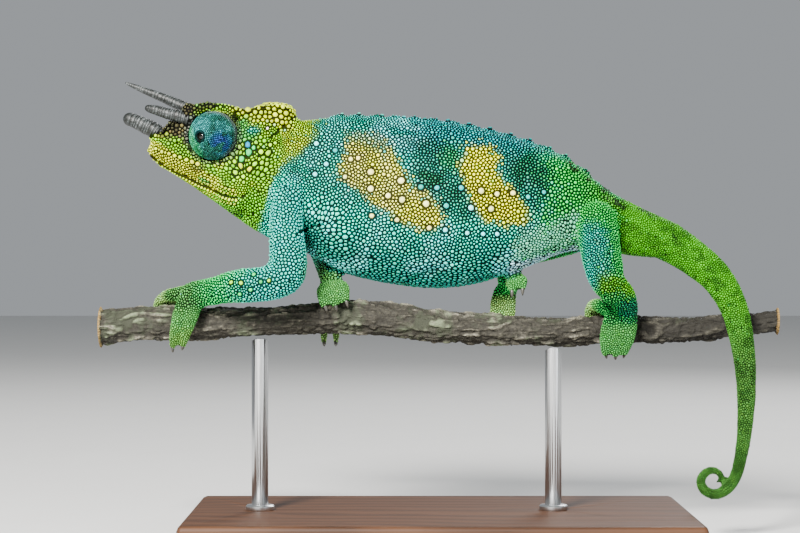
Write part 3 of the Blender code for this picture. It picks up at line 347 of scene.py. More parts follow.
# Large round scales on each flank and cheek: colour, x, z, radius.
TUBERCLES = (
    ("cream", -28.2, 107.5, 0.85), ("cream", -20.6, 108.9, 1.2), ("cream", -20.6, 103.9, 1.2),
    ("cream", -11.7, 106.3, 1.25), ("cream", -15.5, 101.9, 1.1), ("cream", -11.4, 100.7, 1.2),
    ("cream", -4.3, 99.5, 1.2), ("cream", -26.5, 112.8, 0.95), ("cream", -24.4, 113.1, 0.9),
    ("cream", -12.9, 94.8, 0.9), ("cream", -20.3, 96.0, 0.9), ("cream", -3.4, 92.4, 0.9),
    ("cream", 11.9, 103.3, 1.15), ("cream", 16.6, 102.4, 0.95), ("cream", 21.3, 102.7, 1.0),
    ("cream", 14.8, 98.0, 1.1), ("pale", 1.3, 91.8, 0.9), ("teal", -31.2, 115.4, 0.95),
    ("pale", -36.8, 117.5, 0.95), ("pale", -33.8, 111.3, 0.9), ("pale", -37.1, 108.3, 0.9),
    ("teal", -5.8, 104.5, 1.0), ("teal", -1.1, 104.2, 1.0), ("teal", 6.0, 104.2, 1.0),
    ("teal", 1.6, 98.9, 1.05), ("pale", 8.9, 98.3, 1.05), ("teal", 25.8, 101.6, 0.9),
    ("teal", 30.5, 103.0, 0.85), ("pale", 7.8, 90.9, 0.85), ("pale", 12.5, 90.6, 0.85),
    ("pale", 16.6, 90.6, 0.85), ("blue", -57.1, 117.1, 0.95), ("mint", -55.3, 116.2, 0.7),
    ("mint", -56.8, 114.7, 1.2), ("mint", -58.8, 112.9, 0.95), ("lime", -53.2, 115.0, 0.9),
    ("lime", -51.1, 114.7, 0.95), ("lime", -49.1, 117.7, 0.7), ("lime", -50.5, 117.1, 0.7),
    ("yellow", -59.1, 110.8, 0.9), ("yellow", -56.5, 109.9, 0.85), ("lime", -55.0, 111.4, 0.8),
    ("lime", -60.6, 108.8, 0.8), ("white", -51.4, 122.1, 0.6), ("lime", -58.3, 76.2, 0.8),
    ("lime", -61.2, 76.4, 0.75), ("mint", -54.5, 78.7, 0.75), ("mint", -55.4, 74.3, 0.75),
    ("mint", -58.7, 73.0, 0.7), ("mint", -52.4, 76.6, 0.7), ("lime", -50.0, 77.0, 0.65),
)

# Colours as they look in daylight, red, green and blue from 0 to 255.
PALETTE = {
    "turquoise": (3, 215, 182),
    "deep_turquoise": (3, 158, 149),
    # The belly's darker blue-teal is painted shade on the underside.
    "belly": (10, 129, 111),
    "cyan": (3, 153, 153),
    "dark_teal": (7, 115, 77),
    "cream": (243, 239, 139),
    "patch_pale": (241, 247, 101),
    "patch": (231, 241, 7),
    "pale": (112, 243, 243),
    "teal": (7, 158, 155),
    "blue": (2, 127, 160),
    "mint": (13, 191, 89),
    "lime": (149, 212, 3),
    "yellow": (196, 212, 3),
    "white": (237, 240, 231),
    "head": (111, 177, 3),
    "casque": (173, 191, 3),
    "brow": (47, 45, 29),
    "snout": (77, 74, 44),
    "lip": (197, 206, 39),
    "throat": (97, 188, 13),
    "neck": (173, 231, 13),
    "rear_green": (13, 188, 63),
    "tail": (53, 134, 3),
    "tail_dark": (22, 56, 12),
    "tail_low": (53, 89, 39),
    "arm": (39, 191, 173),
    "hand": (69, 137, 63),
    "toe": (89, 139, 56),
    "thigh": (29, 170, 69),
    "groin": (89, 173, 139),
    "shin": (2, 138, 67),
    "knee": (76, 162, 2),
    "turret": (20, 79, 68),
    "turret_blue": (25, 48, 115),
    "turret_light": (44, 124, 124),
    "turret_rim": (75, 84, 78),
    "gap_brow": (8, 9, 6),
    "horn_light": (115, 121, 122),
    "horn_mid": (43, 47, 47),
    "horn_dark": (18, 20, 18),
    "claw": (59, 56, 49),
    "bark": (77, 74, 64),
    "bark_dark": (24, 22, 18),
    "bark_light": (149, 144, 126),
    "lichen": (97, 108, 82),
    "cut_wood": (158, 128, 65),
    "walnut": (82, 53, 34),
    "walnut_dark": (45, 27, 16),
    "iris": (70, 52, 28),
    "far_hand": (133, 175, 92),
    "mauve": (158, 206, 223),
}

# Camera and studio. Each light: place, what it faces, size, power, colour.
CAMERA_PLACE = (-0.012, -0.667, 0.08105)
LENS = 100.05
SENSOR = 36
LIGHTS = {
    "key": ((-0.35, -0.88, 0.62), (0, 0, 0.09), 0.28, 58, (1.0, 0.98, 0.94)),
    "fill": ((0.8, -0.7, 0.30), (0, 0, 0.09), 0.6, 5, (0.92, 0.96, 1.0)),
    "rim": ((0.3, 0.7, 0.6), (0, 0, 0.10), 0.4, 5, (1.0, 1.0, 1.0)),
}
SKY_COLOUR = (0.90, 0.95, 1.0, 1)
SKY_LIGHT = 0.38
FLOOR_SIZE = 6
FLOOR_HEIGHT = -0.0002


def linear(name):
    """A palette colour as the renderer counts light."""
    values = np.array(PALETTE[name]) / 255
    return np.where(values <= 0.04045, values / 12.92, ((values + 0.055) / 1.055) ** 2.4)


def deselect_all():
    if bpy.context.object and bpy.context.object.mode != "OBJECT":
        bpy.ops.object.mode_set(mode="OBJECT")
    bpy.ops.object.select_all(action="DESELECT")


def select_only(obj):
    deselect_all()
    obj.select_set(True)
    bpy.context.view_layer.objects.active = obj


def apply_all(obj):
    select_only(obj)
    for modifier in list(obj.modifiers):
        bpy.ops.object.modifier_apply(modifier=modifier.name)


def in_edit_mode(obj, operator, **settings):
    """Run one mesh operator on all of a piece."""
    select_only(obj)
    bpy.ops.object.mode_set(mode="EDIT")
    bpy.ops.mesh.select_all(action="SELECT")
    operator(**settings)
    bpy.ops.object.mode_set(mode="OBJECT")


def join(pieces):
    """Make one piece of several, under the first one's name."""
    deselect_all()
    for piece in pieces:
        piece.select_set(True)
    bpy.context.view_layer.objects.active = pieces[0]
    bpy.ops.object.join()
    return pieces[0]


def link(name, mesh):
    obj = bpy.data.objects.new(name, mesh)
    bpy.context.scene.collection.objects.link(obj)
    return obj


def gathered(items, key, width, kind=np.float32):
    """One field of all vertices, edges, triangles or corners of a mesh, a row for each."""
    out = np.empty(len(items) * width, kind)
    items.foreach_get(key, out)
    return out.reshape(-1, width)


def vertex_places(mesh):
    return gathered(mesh.vertices, "co", 3).astype(float)


def set_vertex_places(mesh, co):
    mesh.vertices.foreach_set("co", co.astype(np.float32).ravel())
    mesh.update()


def vertex_normals(mesh):
    return gathered(mesh.vertices, "normal", 3).astype(float)


def edge_ends(mesh):
    return gathered(mesh.edges, "vertices", 2, np.int32)


def set_colours(mesh, name, colours):
    layer = mesh.attributes.new(name, "FLOAT_COLOR", "POINT")
    full = np.ones((len(colours), 4), np.float32)
    full[:, :3] = colours
    layer.data.foreach_set("color", full.ravel())


def set_amounts(mesh, name, amounts):
    layer = mesh.attributes.new(name, "FLOAT", "POINT")
    layer.data.foreach_set("value", np.asarray(amounts, np.float32))


def toe_ends(unit):
    """Where each toe ends and which way it points."""
    for rows in CLAW_ROOTS.values():
        for row in rows:
            tip = np.array(row[3:]) * unit
            out = tip - np.array(row[:3]) * unit
            yield tip, out / np.linalg.norm(out)


def eye_centre(side):
    return np.array((EYE_CENTRE[0], side * EYE_CENTRE[1], EYE_CENTRE[2]))


def by_part(masks, table, base=None):
    """A value that differs from part to part, softly blended where parts meet."""
    out = np.full(len(masks["head"]), table["body"]) if base is None else base
    for name in ("head", "tail", "limb", "foot"):
        out = out + masks[name] * (table[name] - out)
    return out


def averaged(values, edges, count):
    """Each vertex's value as the mean of its neighbours'."""
    a, b = edges[:, 0], edges[:, 1]
    degree = np.bincount(a, minlength=count) + np.bincount(b, minlength=count)
    flat = values.reshape(count, -1)
    total = np.empty_like(flat)
    for i in range(flat.shape[1]):
        total[:, i] = np.bincount(a, flat[b, i], count) + np.bincount(b, flat[a, i], count)
    return (total / np.maximum(degree, 1)[:, None]).reshape(values.shape)


def smoothed_surface(co, edges, rounds):
    """Take out the grain of a melted surface without shrinking it."""
    for _ in range(rounds):
        for weight in (0.55, -0.57):
            co = co + weight * (averaged(co, edges, len(co)) - co)
    return co


def lattice_noise(places, size, seed=0):
    """Smooth noise from 0 to 1 over space, with features about size millimetres across."""
    scaled = places / (size * MM) + 1000.0 + seed * 17.31
    cell = np.floor(scaled).astype(np.int64)
    part = scaled - cell
    part = part * part * (3 - 2 * part)
    total = np.zeros(len(places))
    for corner in range(8):
        step = np.array([corner & 1, corner >> 1 & 1, corner >> 2 & 1])
        spot = cell + step
        mixed = spot[:, 0] * 374761393 + spot[:, 1] * 668265263 + spot[:, 2] * 1274126177 + seed * 982451653
        mixed = (mixed ^ (mixed >> 13)) * 1103515245 & 0x7FFFFFFF
        mixed = (mixed ^ (mixed >> 11)) & 0xFFFFF
        weight = np.prod(np.where(step, part, 1 - part), axis=1)
        total += weight * mixed / 0xFFFFF
    return total


def ramp(value, start, end):
    """0 before start and 1 past end, with a smooth rise between them."""
    t = np.clip((value - start) / (end - start), 0, 1)
    return t * t * (3 - 2 * t)


def path_distance(x, z, path):
    """Distance in millimetres of points in the side view from a path of x, z."""
    best = np.full(len(x), 1e9)
    for (ax, az), (bx, bz) in zip(path, path[1:]):
        run_x, run_z = bx - ax, bz - az
        t = np.clip(((x - ax) * run_x + (z - az) * run_z) / (run_x**2 + run_z**2), 0, 1)
        best = np.minimum(best, np.hypot(x - ax - t * run_x, z - az - t * run_z))
    return best


def outline_distance(x, z, outline):
    """Signed distance in millimetres from a closed outline in the side view, below 0 inside."""
    closed = list(outline) + [outline[0]]
    best = path_distance(x, z, closed)
    inside = np.zeros(len(x), bool)
    for (ax, az), (bx, bz) in zip(closed, closed[1:]):
        crosses = (az > z) != (bz > z)
        run = np.where(crosses, (bx - ax) * (z - az) / (bz - az if bz != az else 1) + ax, 0)
        inside ^= crosses & (x < run)
    return np.where(inside, -best, best)


def smooth_path(points, steps):
    """Points on a Catmull-Rom curve through the given rows, all columns blended alike."""
    rows = np.array(points, dtype=float)
    rows = np.vstack([2 * rows[0] - rows[1], rows, 2 * rows[-1] - rows[-2]])
    out = []
    for i in range(1, len(rows) - 2):
        a, b, c, d = rows[i - 1], rows[i], rows[i + 1], rows[i + 2]
        for s in range(steps):
            t = s / steps
            bend = 2 * a - 5 * b + 4 * c - d
            twist = 3 * b - a - 3 * c + d
            out.append(0.5 * (2 * b + (c - a) * t + bend * t**2 + twist * t**3))
    out.append(rows[-2])
    return np.array(out)


class Socket:
    """One shader value that works in Python sums."""

    def __init__(self, look, socket):
        self.look = look
        self.socket = socket

    def sum(self, operation, *values):
        return self.look.add("ShaderNodeMath", {"operation": operation}, dict(enumerate(values)))

    def __add__(self, other):
        return self.sum("ADD", self, other)

    def __radd__(self, other):
        return self.sum("ADD", other, self)

    def __sub__(self, other):
        return self.sum("SUBTRACT", self, other)

    def __rsub__(self, other):
        return self.sum("SUBTRACT", other, self)

    def __mul__(self, other):
        return self.sum("MULTIPLY", self, other)

    def __rmul__(self, other):
        return self.sum("MULTIPLY", other, self)

    def sine(self):
        return self.sum("SINE", self)

    def ramp(self, start, end):
        settings = {"interpolation_type": "SMOOTHSTEP"}
        return self.look.add("ShaderNodeMapRange", settings, {0: self, 1: start, 2: end})


class Look:
    """A material made in code."""

    def __init__(self, name, **sockets):
        self.material = bpy.data.materials.new(name)
        self.material.use_nodes = True
        self.tree = self.material.node_tree
        self.shader = self.tree.nodes["Principled BSDF"]
        for key, value in sockets.items():
            self.shader.inputs[key.replace("_", " ").title().replace("Ior", "IOR")].default_value = value

    def add(self, kind, settings=None, inputs=None, output=0):
        """A node: its settings first, then the values or links of its sockets."""
        node = self.tree.nodes.new(kind)
        for key, value in (settings or {}).items():
            if key == "stops":
                self.set_stops(node.color_ramp, value)
            else:
                setattr(node, key, value)
        for key, value in (inputs or {}).items():
            self.feed(node.inputs[key], value)
        return Socket(self, node.outputs[output])

    def set_stops(self, bar, stops):
        while len(bar.elements) > len(stops):
            bar.elements.remove(bar.elements[-1])
        while len(bar.elements) < len(stops):
            bar.elements.new(0.5)
        for element, (place, colour) in zip(bar.elements, stops):
            element.position = place
            element.color = (*colour, 1)

    def feed(self, socket, value):
        if isinstance(value, Socket):
            self.tree.links.new(value.socket, socket)
        else:
            socket.default_value = value

    def surface(self, key, value):
        self.feed(self.shader.inputs[key], value)

    def place(self):
        return self.add("ShaderNodeTexCoord", output="Object")

    def grey(self, value):
        return self.add("ShaderNodeCombineColor", inputs={0: value, 1: value, 2: value})

    def stretched(self, scale):
        return self.add("ShaderNodeMapping", inputs={"Vector": self.place(), "Scale": scale})

    def noise(self, scale, detail=2.0, vector=None, roughness=0.5):
        inputs = {"Scale": scale, "Detail": detail, "Roughness": roughness, "Vector": vector or self.place()}
        return self.add("ShaderNodeTexNoise", inputs=inputs)

    def cells(self, scale):
        return self.add("ShaderNodeTexVoronoi", inputs={"Scale": scale, "Vector": self.place()})

    def attribute(self, name, output="Color"):
        return self.add("ShaderNodeAttribute", {"attribute_name": name}, output=output)

    def mix(self, amount, first, second, blend="MIX"):
        settings = {"data_type": "RGBA", "blend_type": blend}
        node = self.add("ShaderNodeMix", settings, {0: amount}, output=2)
        self.feed(node.socket.node.inputs[6], self.opaque(first))
        self.feed(node.socket.node.inputs[7], self.opaque(second))
        return node

    def opaque(self, colour):
        return colour if isinstance(colour, Socket) else (*[float(c) for c in colour], 1)

    def bump(self, height, strength, distance):
        inputs = {"Height": height, "Strength": strength, "Distance": distance}
        return self.add("ShaderNodeBump", inputs=inputs)


class Skin:
    """The melted skin, with what each of its vertices belongs to."""

    def __init__(self, frame):
        self.obj = self.melted(frame)
        mesh = self.obj.data
        self.edges = edge_ends(mesh)
        self.co = smoothed_surface(vertex_places(mesh), self.edges, SKIN_ROUNDS)
        set_vertex_places(mesh, self.co)
        self.masks = self.part_masks(frame)
        self.settle()
        self.carve()
        self.unwrap()
        mesh.calc_loop_triangles()
        self.triangles = gathered(mesh.loop_triangles, "vertices", 3, np.int32)
        self.triangle_loops = gathered(mesh.loop_triangles, "loops", 3, np.int32)
        self.normals = vertex_normals(mesh)
        self.surface = BVHTree.FromPolygons(self.co.tolist(), self.triangles.tolist())

    def melted(self, frame):
        """The flesh nodes and the head's lumps made one closed form."""
        solids = [link("flesh_" + name, frame["nodes"][name].data.copy()) for name in FLESH_NODES]
        for x, y, z, radius in HEAD_LUMPS:
            for side in (-1, 1):
                if y or side == 1:
                    place = Matrix.Translation((x * MM, side * y * MM, z * MM))
                    made = bmesh.new()
                    bmesh.ops.create_icosphere(made, subdivisions=3, radius=radius * MM, matrix=place)
                    lump = bpy.data.meshes.new("lump")
                    made.to_mesh(lump)
                    made.free()
                    solids.append(link("lump", lump))
        skin = join(solids)
        skin.name = "chameleon_skin"
        in_edit_mode(skin, bpy.ops.mesh.remove_doubles, threshold=MERGE * MM)
        swell = skin.modifiers.new("swell", "DISPLACE")
        swell.strength = SWELL * MM
        swell.mid_level = 0
        melt = skin.modifiers.new("melt", "REMESH")
        melt.mode = "VOXEL"
        melt.voxel_size = SKIN_GRAIN * MM
        apply_all(skin)
        bpy.ops.object.shade_smooth()
        return skin

    def part_masks(self, frame):
        """How much each vertex belongs to the head, a limb, a foot or the tail, softly blended."""
        corners, faces, owners = [], [], []
        for index, name in enumerate(FLESH_NODES):
            mesh = frame["nodes"][name].data
            start = len(corners)
            corners.extend(v.co.copy() for v in mesh.vertices)
            for poly in mesh.polygons:
                faces.append([start + v for v in poly.vertices])
                owners.append(index)
        tree = BVHTree.FromPolygons(corners, faces)
        owner = np.array([owners[tree.find_nearest(Vector(p))[2]] for p in self.co])
        names = np.array(FLESH_NODES)[owner]
        masks = {
            "head": np.isin(names, HEAD_NODES),
            "limb": np.isin(names, LIMB_NODES),
            "foot": np.char.endswith(names, "toes"),
            "tail": np.isin(names, TAIL_NODES),
        }
        self.back_line = self.trunk_line(frame, max)
        self.belly_line = self.trunk_line(frame, min)
        for name, mask in masks.items():
            soft = mask.astype(float)
            for _ in range(SOFT_ROUNDS[name]):
                soft = averaged(soft, self.edges, len(soft))
            masks[name] = soft
        return masks

    def trunk_line(self, frame, choose):
        """Height of the back or belly along the trunk, as rows of x, z in millimetres."""
        rows = {}
        for name in ("neck", "torso", "tail_base"):
            for vertex in frame["nodes"][name].data.vertices:
                x, y, z = vertex.co / MM
                if abs(y) < 4:
                    key = round(x / 4)
                    rows[key] = choose(rows.get(key, z), z)
        keys = sorted(rows)
        return np.array([key * 4.0 for key in keys]), np.array([rows[key] for key in keys])

    def rise(self, x, z):
        """How far up the flank places lie, 0 at the belly and 1 at the back."""
        back = np.interp(x, *self.back_line)
        belly = np.interp(x, *self.belly_line)
        return (z - belly) / np.maximum(back - belly, 4)

    def settle(self):
        """Draw the skin in from the swollen solids to below its coat."""
        depth = by_part(self.masks, COAT_DEPTH)
        thin = ramp(self.co[:, 2] / MM, 26.0, 12.0) * self.masks["tail"]
        depth -= THIN_TAIL * thin
        normals = vertex_normals(self.obj.data)
        self.co = self.co - normals * ((SWELL + depth) * MM)[:, None]
        for tip, out in toe_ends(MM):
            past = (self.co - tip) @ out + TOE_CUT * MM
            close = (np.linalg.norm(self.co - tip, axis=1) < 2.2 * MM) & (past > 0)
            self.co[close] -= TOE_DRAWN * past[close, None] * out
        set_vertex_places(self.obj.data, self.co)

    def carve(self):
        """Press the mouth and the folds into the skin."""
        x, y, z = self.co.T / MM
        press = np.zeros(len(x))
        for depth, width, path, clear, nearer in HEAD_GROOVES:
            groove = depth * np.exp(-((path_distance(x, z, path) / width) ** 2))
            press += groove * np.where(np.abs(y) > clear, 1, nearer)
        centre = np.tile(EYE_CENTRE, (len(x), 1))
        centre[:, 1] *= np.sign(y)
        eye = np.linalg.norm(self.co / MM - centre, axis=1)
        for depth, out, width in EYE_CREASES:
            press += depth * np.exp(-(((eye - EYE_RADIUS - out) / width) ** 2))
        press *= self.masks["head"]
        for depth, width, path in FOLDS:
            fold = depth * np.exp(-((path_distance(x, z, path) / width) ** 2))
            press += fold * (1 - self.masks["limb"]) * (np.abs(y) > 2)
        normals = vertex_normals(self.obj.data)
        self.co = self.co - normals * (press * MM)[:, None]
        set_vertex_places(self.obj.data, self.co)

    def unwrap(self):
        in_edit_mode(self.obj, bpy.ops.uv.smart_project, angle_limit=math.radians(72), island_margin=0.004)
        layer = self.obj.data.uv_layers.active
        layer.name = "OFBake"
        self.uv = gathered(layer.data, "uv", 2)

    def nearest(self, places):
        """Places moved to the skin, with the triangle each lies on."""
        spots = np.empty_like(places)
        triangles = np.empty(len(places), np.int64)
        for i, place in enumerate(places):
            spot, _, triangle, _ = self.surface.find_nearest(place)
            spots[i] = spot
            triangles[i] = triangle
        return spots, triangles

    def weights(self, places, triangles):
        """How near each place lies to the three corners of its triangle."""
        a, b, c = (self.co[self.triangles[triangles, i]] for i in range(3))
        v0, v1, v2 = b - a, c - a, places - a
        d00, d01, d11 = (v0 * v0).sum(1), (v0 * v1).sum(1), (v1 * v1).sum(1)
        d20, d21 = (v2 * v0).sum(1), (v2 * v1).sum(1)
        whole = np.maximum(d00 * d11 - d01 * d01, 1e-24)
        second = np.clip((d11 * d20 - d01 * d21) / whole, 0, 1)
        third = np.clip((d00 * d21 - d01 * d20) / whole, 0, 1)
        return np.stack([np.clip(1 - second - third, 0, 1), second, third], 1)

    def read(self, values, triangles, weights):
        """A per-vertex value at places on the skin."""
        picked = values[self.triangles[triangles]]
        if picked.ndim == 3:
            return (picked * weights[:, :, None]).sum(1)
        return (picked * weights).sum(1)


def near_pairs(places, reach):
    """Index pairs of places closer than reach."""
    cell = np.floor((places - places.min(0)) / reach).astype(np.int64) + 1
    wide, deep = cell[:, 1].max() + 2, cell[:, 2].max() + 2
    key = (cell[:, 0] * wide + cell[:, 1]) * deep + cell[:, 2]
    order = np.argsort(key, kind="stable")
    ordered = key[order]
    firsts, seconds = [], []
    for dx in (0, 1):
        for dy in (-1, 0, 1):
            for dz in (-1, 0, 1):
                if dx == 0 and (dy < 0 or (dy == 0 and dz < 0)):
                    continue
                shift = (dx * wide + dy) * deep + dz
                low = np.searchsorted(ordered, ordered + shift, "left")
                count = np.searchsorted(ordered, ordered + shift, "right") - low
                first = np.repeat(np.arange(len(key)), count)
                start = np.repeat(np.cumsum(count) - count, count)
                second = np.repeat(low, count) + np.arange(len(first)) - start
                if shift == 0:
                    keep = second > first
                    first, second = first[keep], second[keep]
                firsts.append(order[first])
                seconds.append(order[second])
    a, b = np.concatenate(firsts), np.concatenate(seconds)
    close = ((places[a] - places[b]) ** 2).sum(1) < reach * reach
    return a[close], b[close]


class Scales:
    """Sites of all scales on the skin, packed so that round ones of unlike size lie close."""

    def __init__(self, skin, rng):
        self.skin = skin
        self.rng = rng
        self.scatter()
        self.add_chosen()
        self.pack()
        self.clear_openings()
        self.finish()

    def scatter(self):
        skin, rng = self.skin, self.rng
        corners = skin.co[skin.triangles]
        across = np.cross(corners[:, 1] - corners[:, 0], corners[:, 2] - corners[:, 0])
        area = np.linalg.norm(across, axis=1) / 2
        vertex_size = granule_size(skin.co, skin.masks, skin)
        size = vertex_size[skin.triangles].mean(1) * MM
        middle = corners.mean(1)
        masks = {k: v[skin.triangles].mean(1) for k, v in skin.masks.items()}
        longer = 1 + STRETCH * np.linalg.norm(streaks(middle, masks, skin), axis=1)
        expected = np.cumsum(PACKING * area / (2 * math.sqrt(3) * size**2 * longer))
        count = int(expected[-1])
        spots = np.arange(count) + rng.random(count)
        triangle = np.minimum(np.searchsorted(expected, spots), len(area) - 1)
        u = rng.random((count, 2))
        over = u.sum(1) > 1
        u[over] = 1 - u[over]
        weights = np.stack([1 - u.sum(1), u[:, 0], u[:, 1]], 1)
        self.place = (corners[triangle] * weights[:, :, None]).sum(1)
        self.triangle = triangle
        vary = np.exp(rng.normal(0, SIZE_SPREAD, count))
        self.size = (vertex_size[skin.triangles[triangle]] * weights).sum(1) * np.clip(vary, 0.68, 1.5)
        self.fixed = np.zeros(count, bool)
        self.named = np.full(count, -1)

    def add_chosen(self):
        """Large round scales at their own places on both flanks and cheeks, and the rows along the lips."""
        rows = []
        for side in (-1, 1):
            for index, (_, x, z, size) in enumerate(TUBERCLES):
                rows.append((x, side * FROM_SIDE, z, size, index))
            for x, z in LIP_ROW:
                rows.append((x, side * FROM_SIDE, z, LIP_SIZE, LIP))
            for offset, size in LIP_SHELVES:
                for x, z in shelf(MOUTH_LINE, offset, 2 * size):
                    if x < LIP_END:
                        rows.append((x, side * FROM_SIDE, z, size, LIP))
        tries = [((x, y, z), (0, -math.copysign(1, y), 0), size, index) for x, y, z, size, index in rows]
        for x, y, z, size in BROW_ROW:
            for side in (-1, 1):
                tries.append(((x, side * y, FROM_ABOVE), (0, 0, -1), size, BROW))
        for x, size in CREST:
            tries.append(((x, 0.0, FROM_ABOVE), (0, 0, -1), size, RIDGE))
        spots, found, sizes, names = [], [], [], []
        for start, toward, size, index in tries:
            spot, _, triangle, _ = self.skin.surface.ray_cast(Vector(start) * MM, Vector(toward))
            if spot is None:
                continue
            spots.append(spot)
            found.append(triangle)
            sizes.append(size)
            names.append(index)
        self.place = np.vstack([self.place, np.array(spots)])
        self.triangle = np.concatenate([self.triangle, found])
        self.size = np.concatenate([self.size, sizes])
        self.fixed = np.concatenate([self.fixed, np.ones(len(spots), bool)])
        self.named = np.concatenate([self.named, names])

    def pack(self):
        """Push scales that crowd one another apart along the skin."""
        skin = self.skin
        chosen = self.named >= 0
        for turn in range(PACK_TURNS):
            normal = skin.normals[skin.triangles[self.triangle]].mean(1)
            normal /= np.maximum(np.linalg.norm(normal, axis=1), 1e-9)[:, None]
            if turn % 3 == 0:
                a, b = near_pairs(self.place, CROWD_REACH * MM)
                alike = (normal[a] * normal[b]).sum(1) > 0.2
                a, b = a[alike], b[alike]
                masks = {k: v[skin.triangles[self.triangle]].mean(1) for k, v in skin.masks.items()}
                streak = streaks(self.place, masks, skin)
                strength = np.linalg.norm(streak, axis=1)
                streak = streak / np.maximum(strength, 1e-6)[:, None]
                shorter = strength * STRETCH / (1 + STRETCH * strength)
            apart = self.place[a] - self.place[b]
            along = (apart * streak[a]).sum(1) * shorter[a]
            apart = apart - along[:, None] * streak[a]
            distance = np.maximum(np.linalg.norm(apart, axis=1), 1e-7)
            wanted = (self.size[a] + self.size[b]) * MM * np.where(chosen[a] | chosen[b], CHOSEN_ROOM, 1)
            lack = np.maximum(wanted - distance, 0) * PUSH
            step = apart / distance[:, None] * lack[:, None]
            count = len(self.place)
            push = np.empty((count, 3))
            for axis in range(3):
                push[:, axis] = np.bincount(a, step[:, axis], count) - np.bincount(b, step[:, axis], count)
            push -= (push * normal).sum(1)[:, None] * normal
            length = np.linalg.norm(push, axis=1)
            limit = 0.5 * self.size * MM
            push *= np.minimum(1, limit / np.maximum(length, 1e-9))[:, None]
            push[self.fixed] = 0
            self.place = self.place + push
            if turn % 3 == 2:
                self.place, self.triangle = skin.nearest(self.place)
        self.place, self.triangle = skin.nearest(self.place)

    def clear_openings(self):
        """Drop scales in the mouth, in creases, past the toes, under the eye turrets and under the horns."""
        x, y, z = self.place.T / MM
        weights = self.skin.weights(self.place, self.triangle)
        head = self.skin.read(self.skin.masks["head"], self.triangle, weights)
        keep = (path_distance(x, z, MOUTH_LINE) > BARE_MOUTH) | (head < 0.5) | (x > MOUTH_END)
        keep &= (path_distance(x, z, NOSTRIL) > BARE_NOSTRIL) | (np.abs(y) < 1.2)
        keep &= path_distance(x, z, ARMPIT) > BARE_ARMPIT
        keep &= path_distance(x, z, CASQUE_GROOVE) > BARE_GROOVE
        for tip, out in toe_ends(1):
            past = (self.place / MM - tip) @ out
            keep &= (past < -TOE_CUT - 0.05) | (np.linalg.norm(self.place / MM - tip, axis=1) > 2.0)
        for side in (-1, 1):
            keep &= np.linalg.norm(self.place / MM - eye_centre(side), axis=1) > EYE_RADIUS - 0.02
        for path in HORN_PATHS.values():
            for px, py, pz, radius in smooth_path(path, 3):
                keep &= np.linalg.norm(self.place / MM - (px, py, pz), axis=1) > radius + BARE_HORN
        for name in ("place", "triangle", "size", "fixed", "named"):
            setattr(self, name, getattr(self, name)[keep])

    def finish(self):
        skin = self.skin
        weights = skin.weights(self.place, self.triangle)
        self.masks = {k: skin.read(v, self.triangle, weights) for k, v in skin.masks.items()}
        normal = skin.read(skin.normals, self.triangle, weights)
        self.normal = normal / np.maximum(np.linalg.norm(normal, axis=1), 1e-9)[:, None]
        loops = skin.triangle_loops[self.triangle]
        self.uv = (skin.uv[loops] * weights[:, :, None]).sum(1)
        gap = scale_gap(self.place, self.masks)
        named = (self.named >= 0) & (self.named < LIP)
        gap[named] = CHOSEN_GAP
        streak = streaks(self.place, self.masks, skin)
        self.reaches = cell_reaches(self.place, self.normal, self.size, gap, streak)


def shelf(path, offset, spacing):
    """Places at even steps along a line that runs beside a path in the side view."""
    rows = smooth_path(path, 12)
    run = np.gradient(rows, axis=0)
    run /= np.linalg.norm(run, axis=1)[:, None]
    beside = rows + offset * np.stack([-run[:, 1], run[:, 0]], 1)
    length = np.concatenate([[0], np.cumsum(np.linalg.norm(np.diff(beside, axis=0), axis=1))])
    steps = np.arange(0.3, length[-1], spacing)
    return np.stack([np.interp(steps, length, beside[:, 0]), np.interp(steps, length, beside[:, 1])], 1)


def streaks(places, masks, skin):
    """Which way scales are drawn out where they grow, as vectors from 0 to 1 long."""
    x, _, z = places.T / MM
    body = (1 - masks["limb"]) * (1 - masks["tail"])
    rise = skin.rise(x, z)
    out = np.zeros_like(places)
    out[:, 0] = ramp(rise, 0.24, 0.08) * ramp(x, -38, -28) * body
    for (cx, cz), inner, reach, strength in STREAK_CENTRES:
        way = np.stack([x - cx, np.zeros(len(x)), z - cz], 1)
        far = np.linalg.norm(way, axis=1)
        amount = strength * ramp(far, inner, inner + 2) * ramp(far, reach, reach - 4) * body
        out += (amount * (1 - np.linalg.norm(out, axis=1)))[:, None] * way / np.maximum(far, 1e-6)[:, None]
    return out


def shade_distance(x, z):
    """Signed distance from the nearer of the two dark bands."""
    return np.minimum(outline_distance(x, z, FRONT_SHADE), outline_distance(x, z, REAR_SHADE))


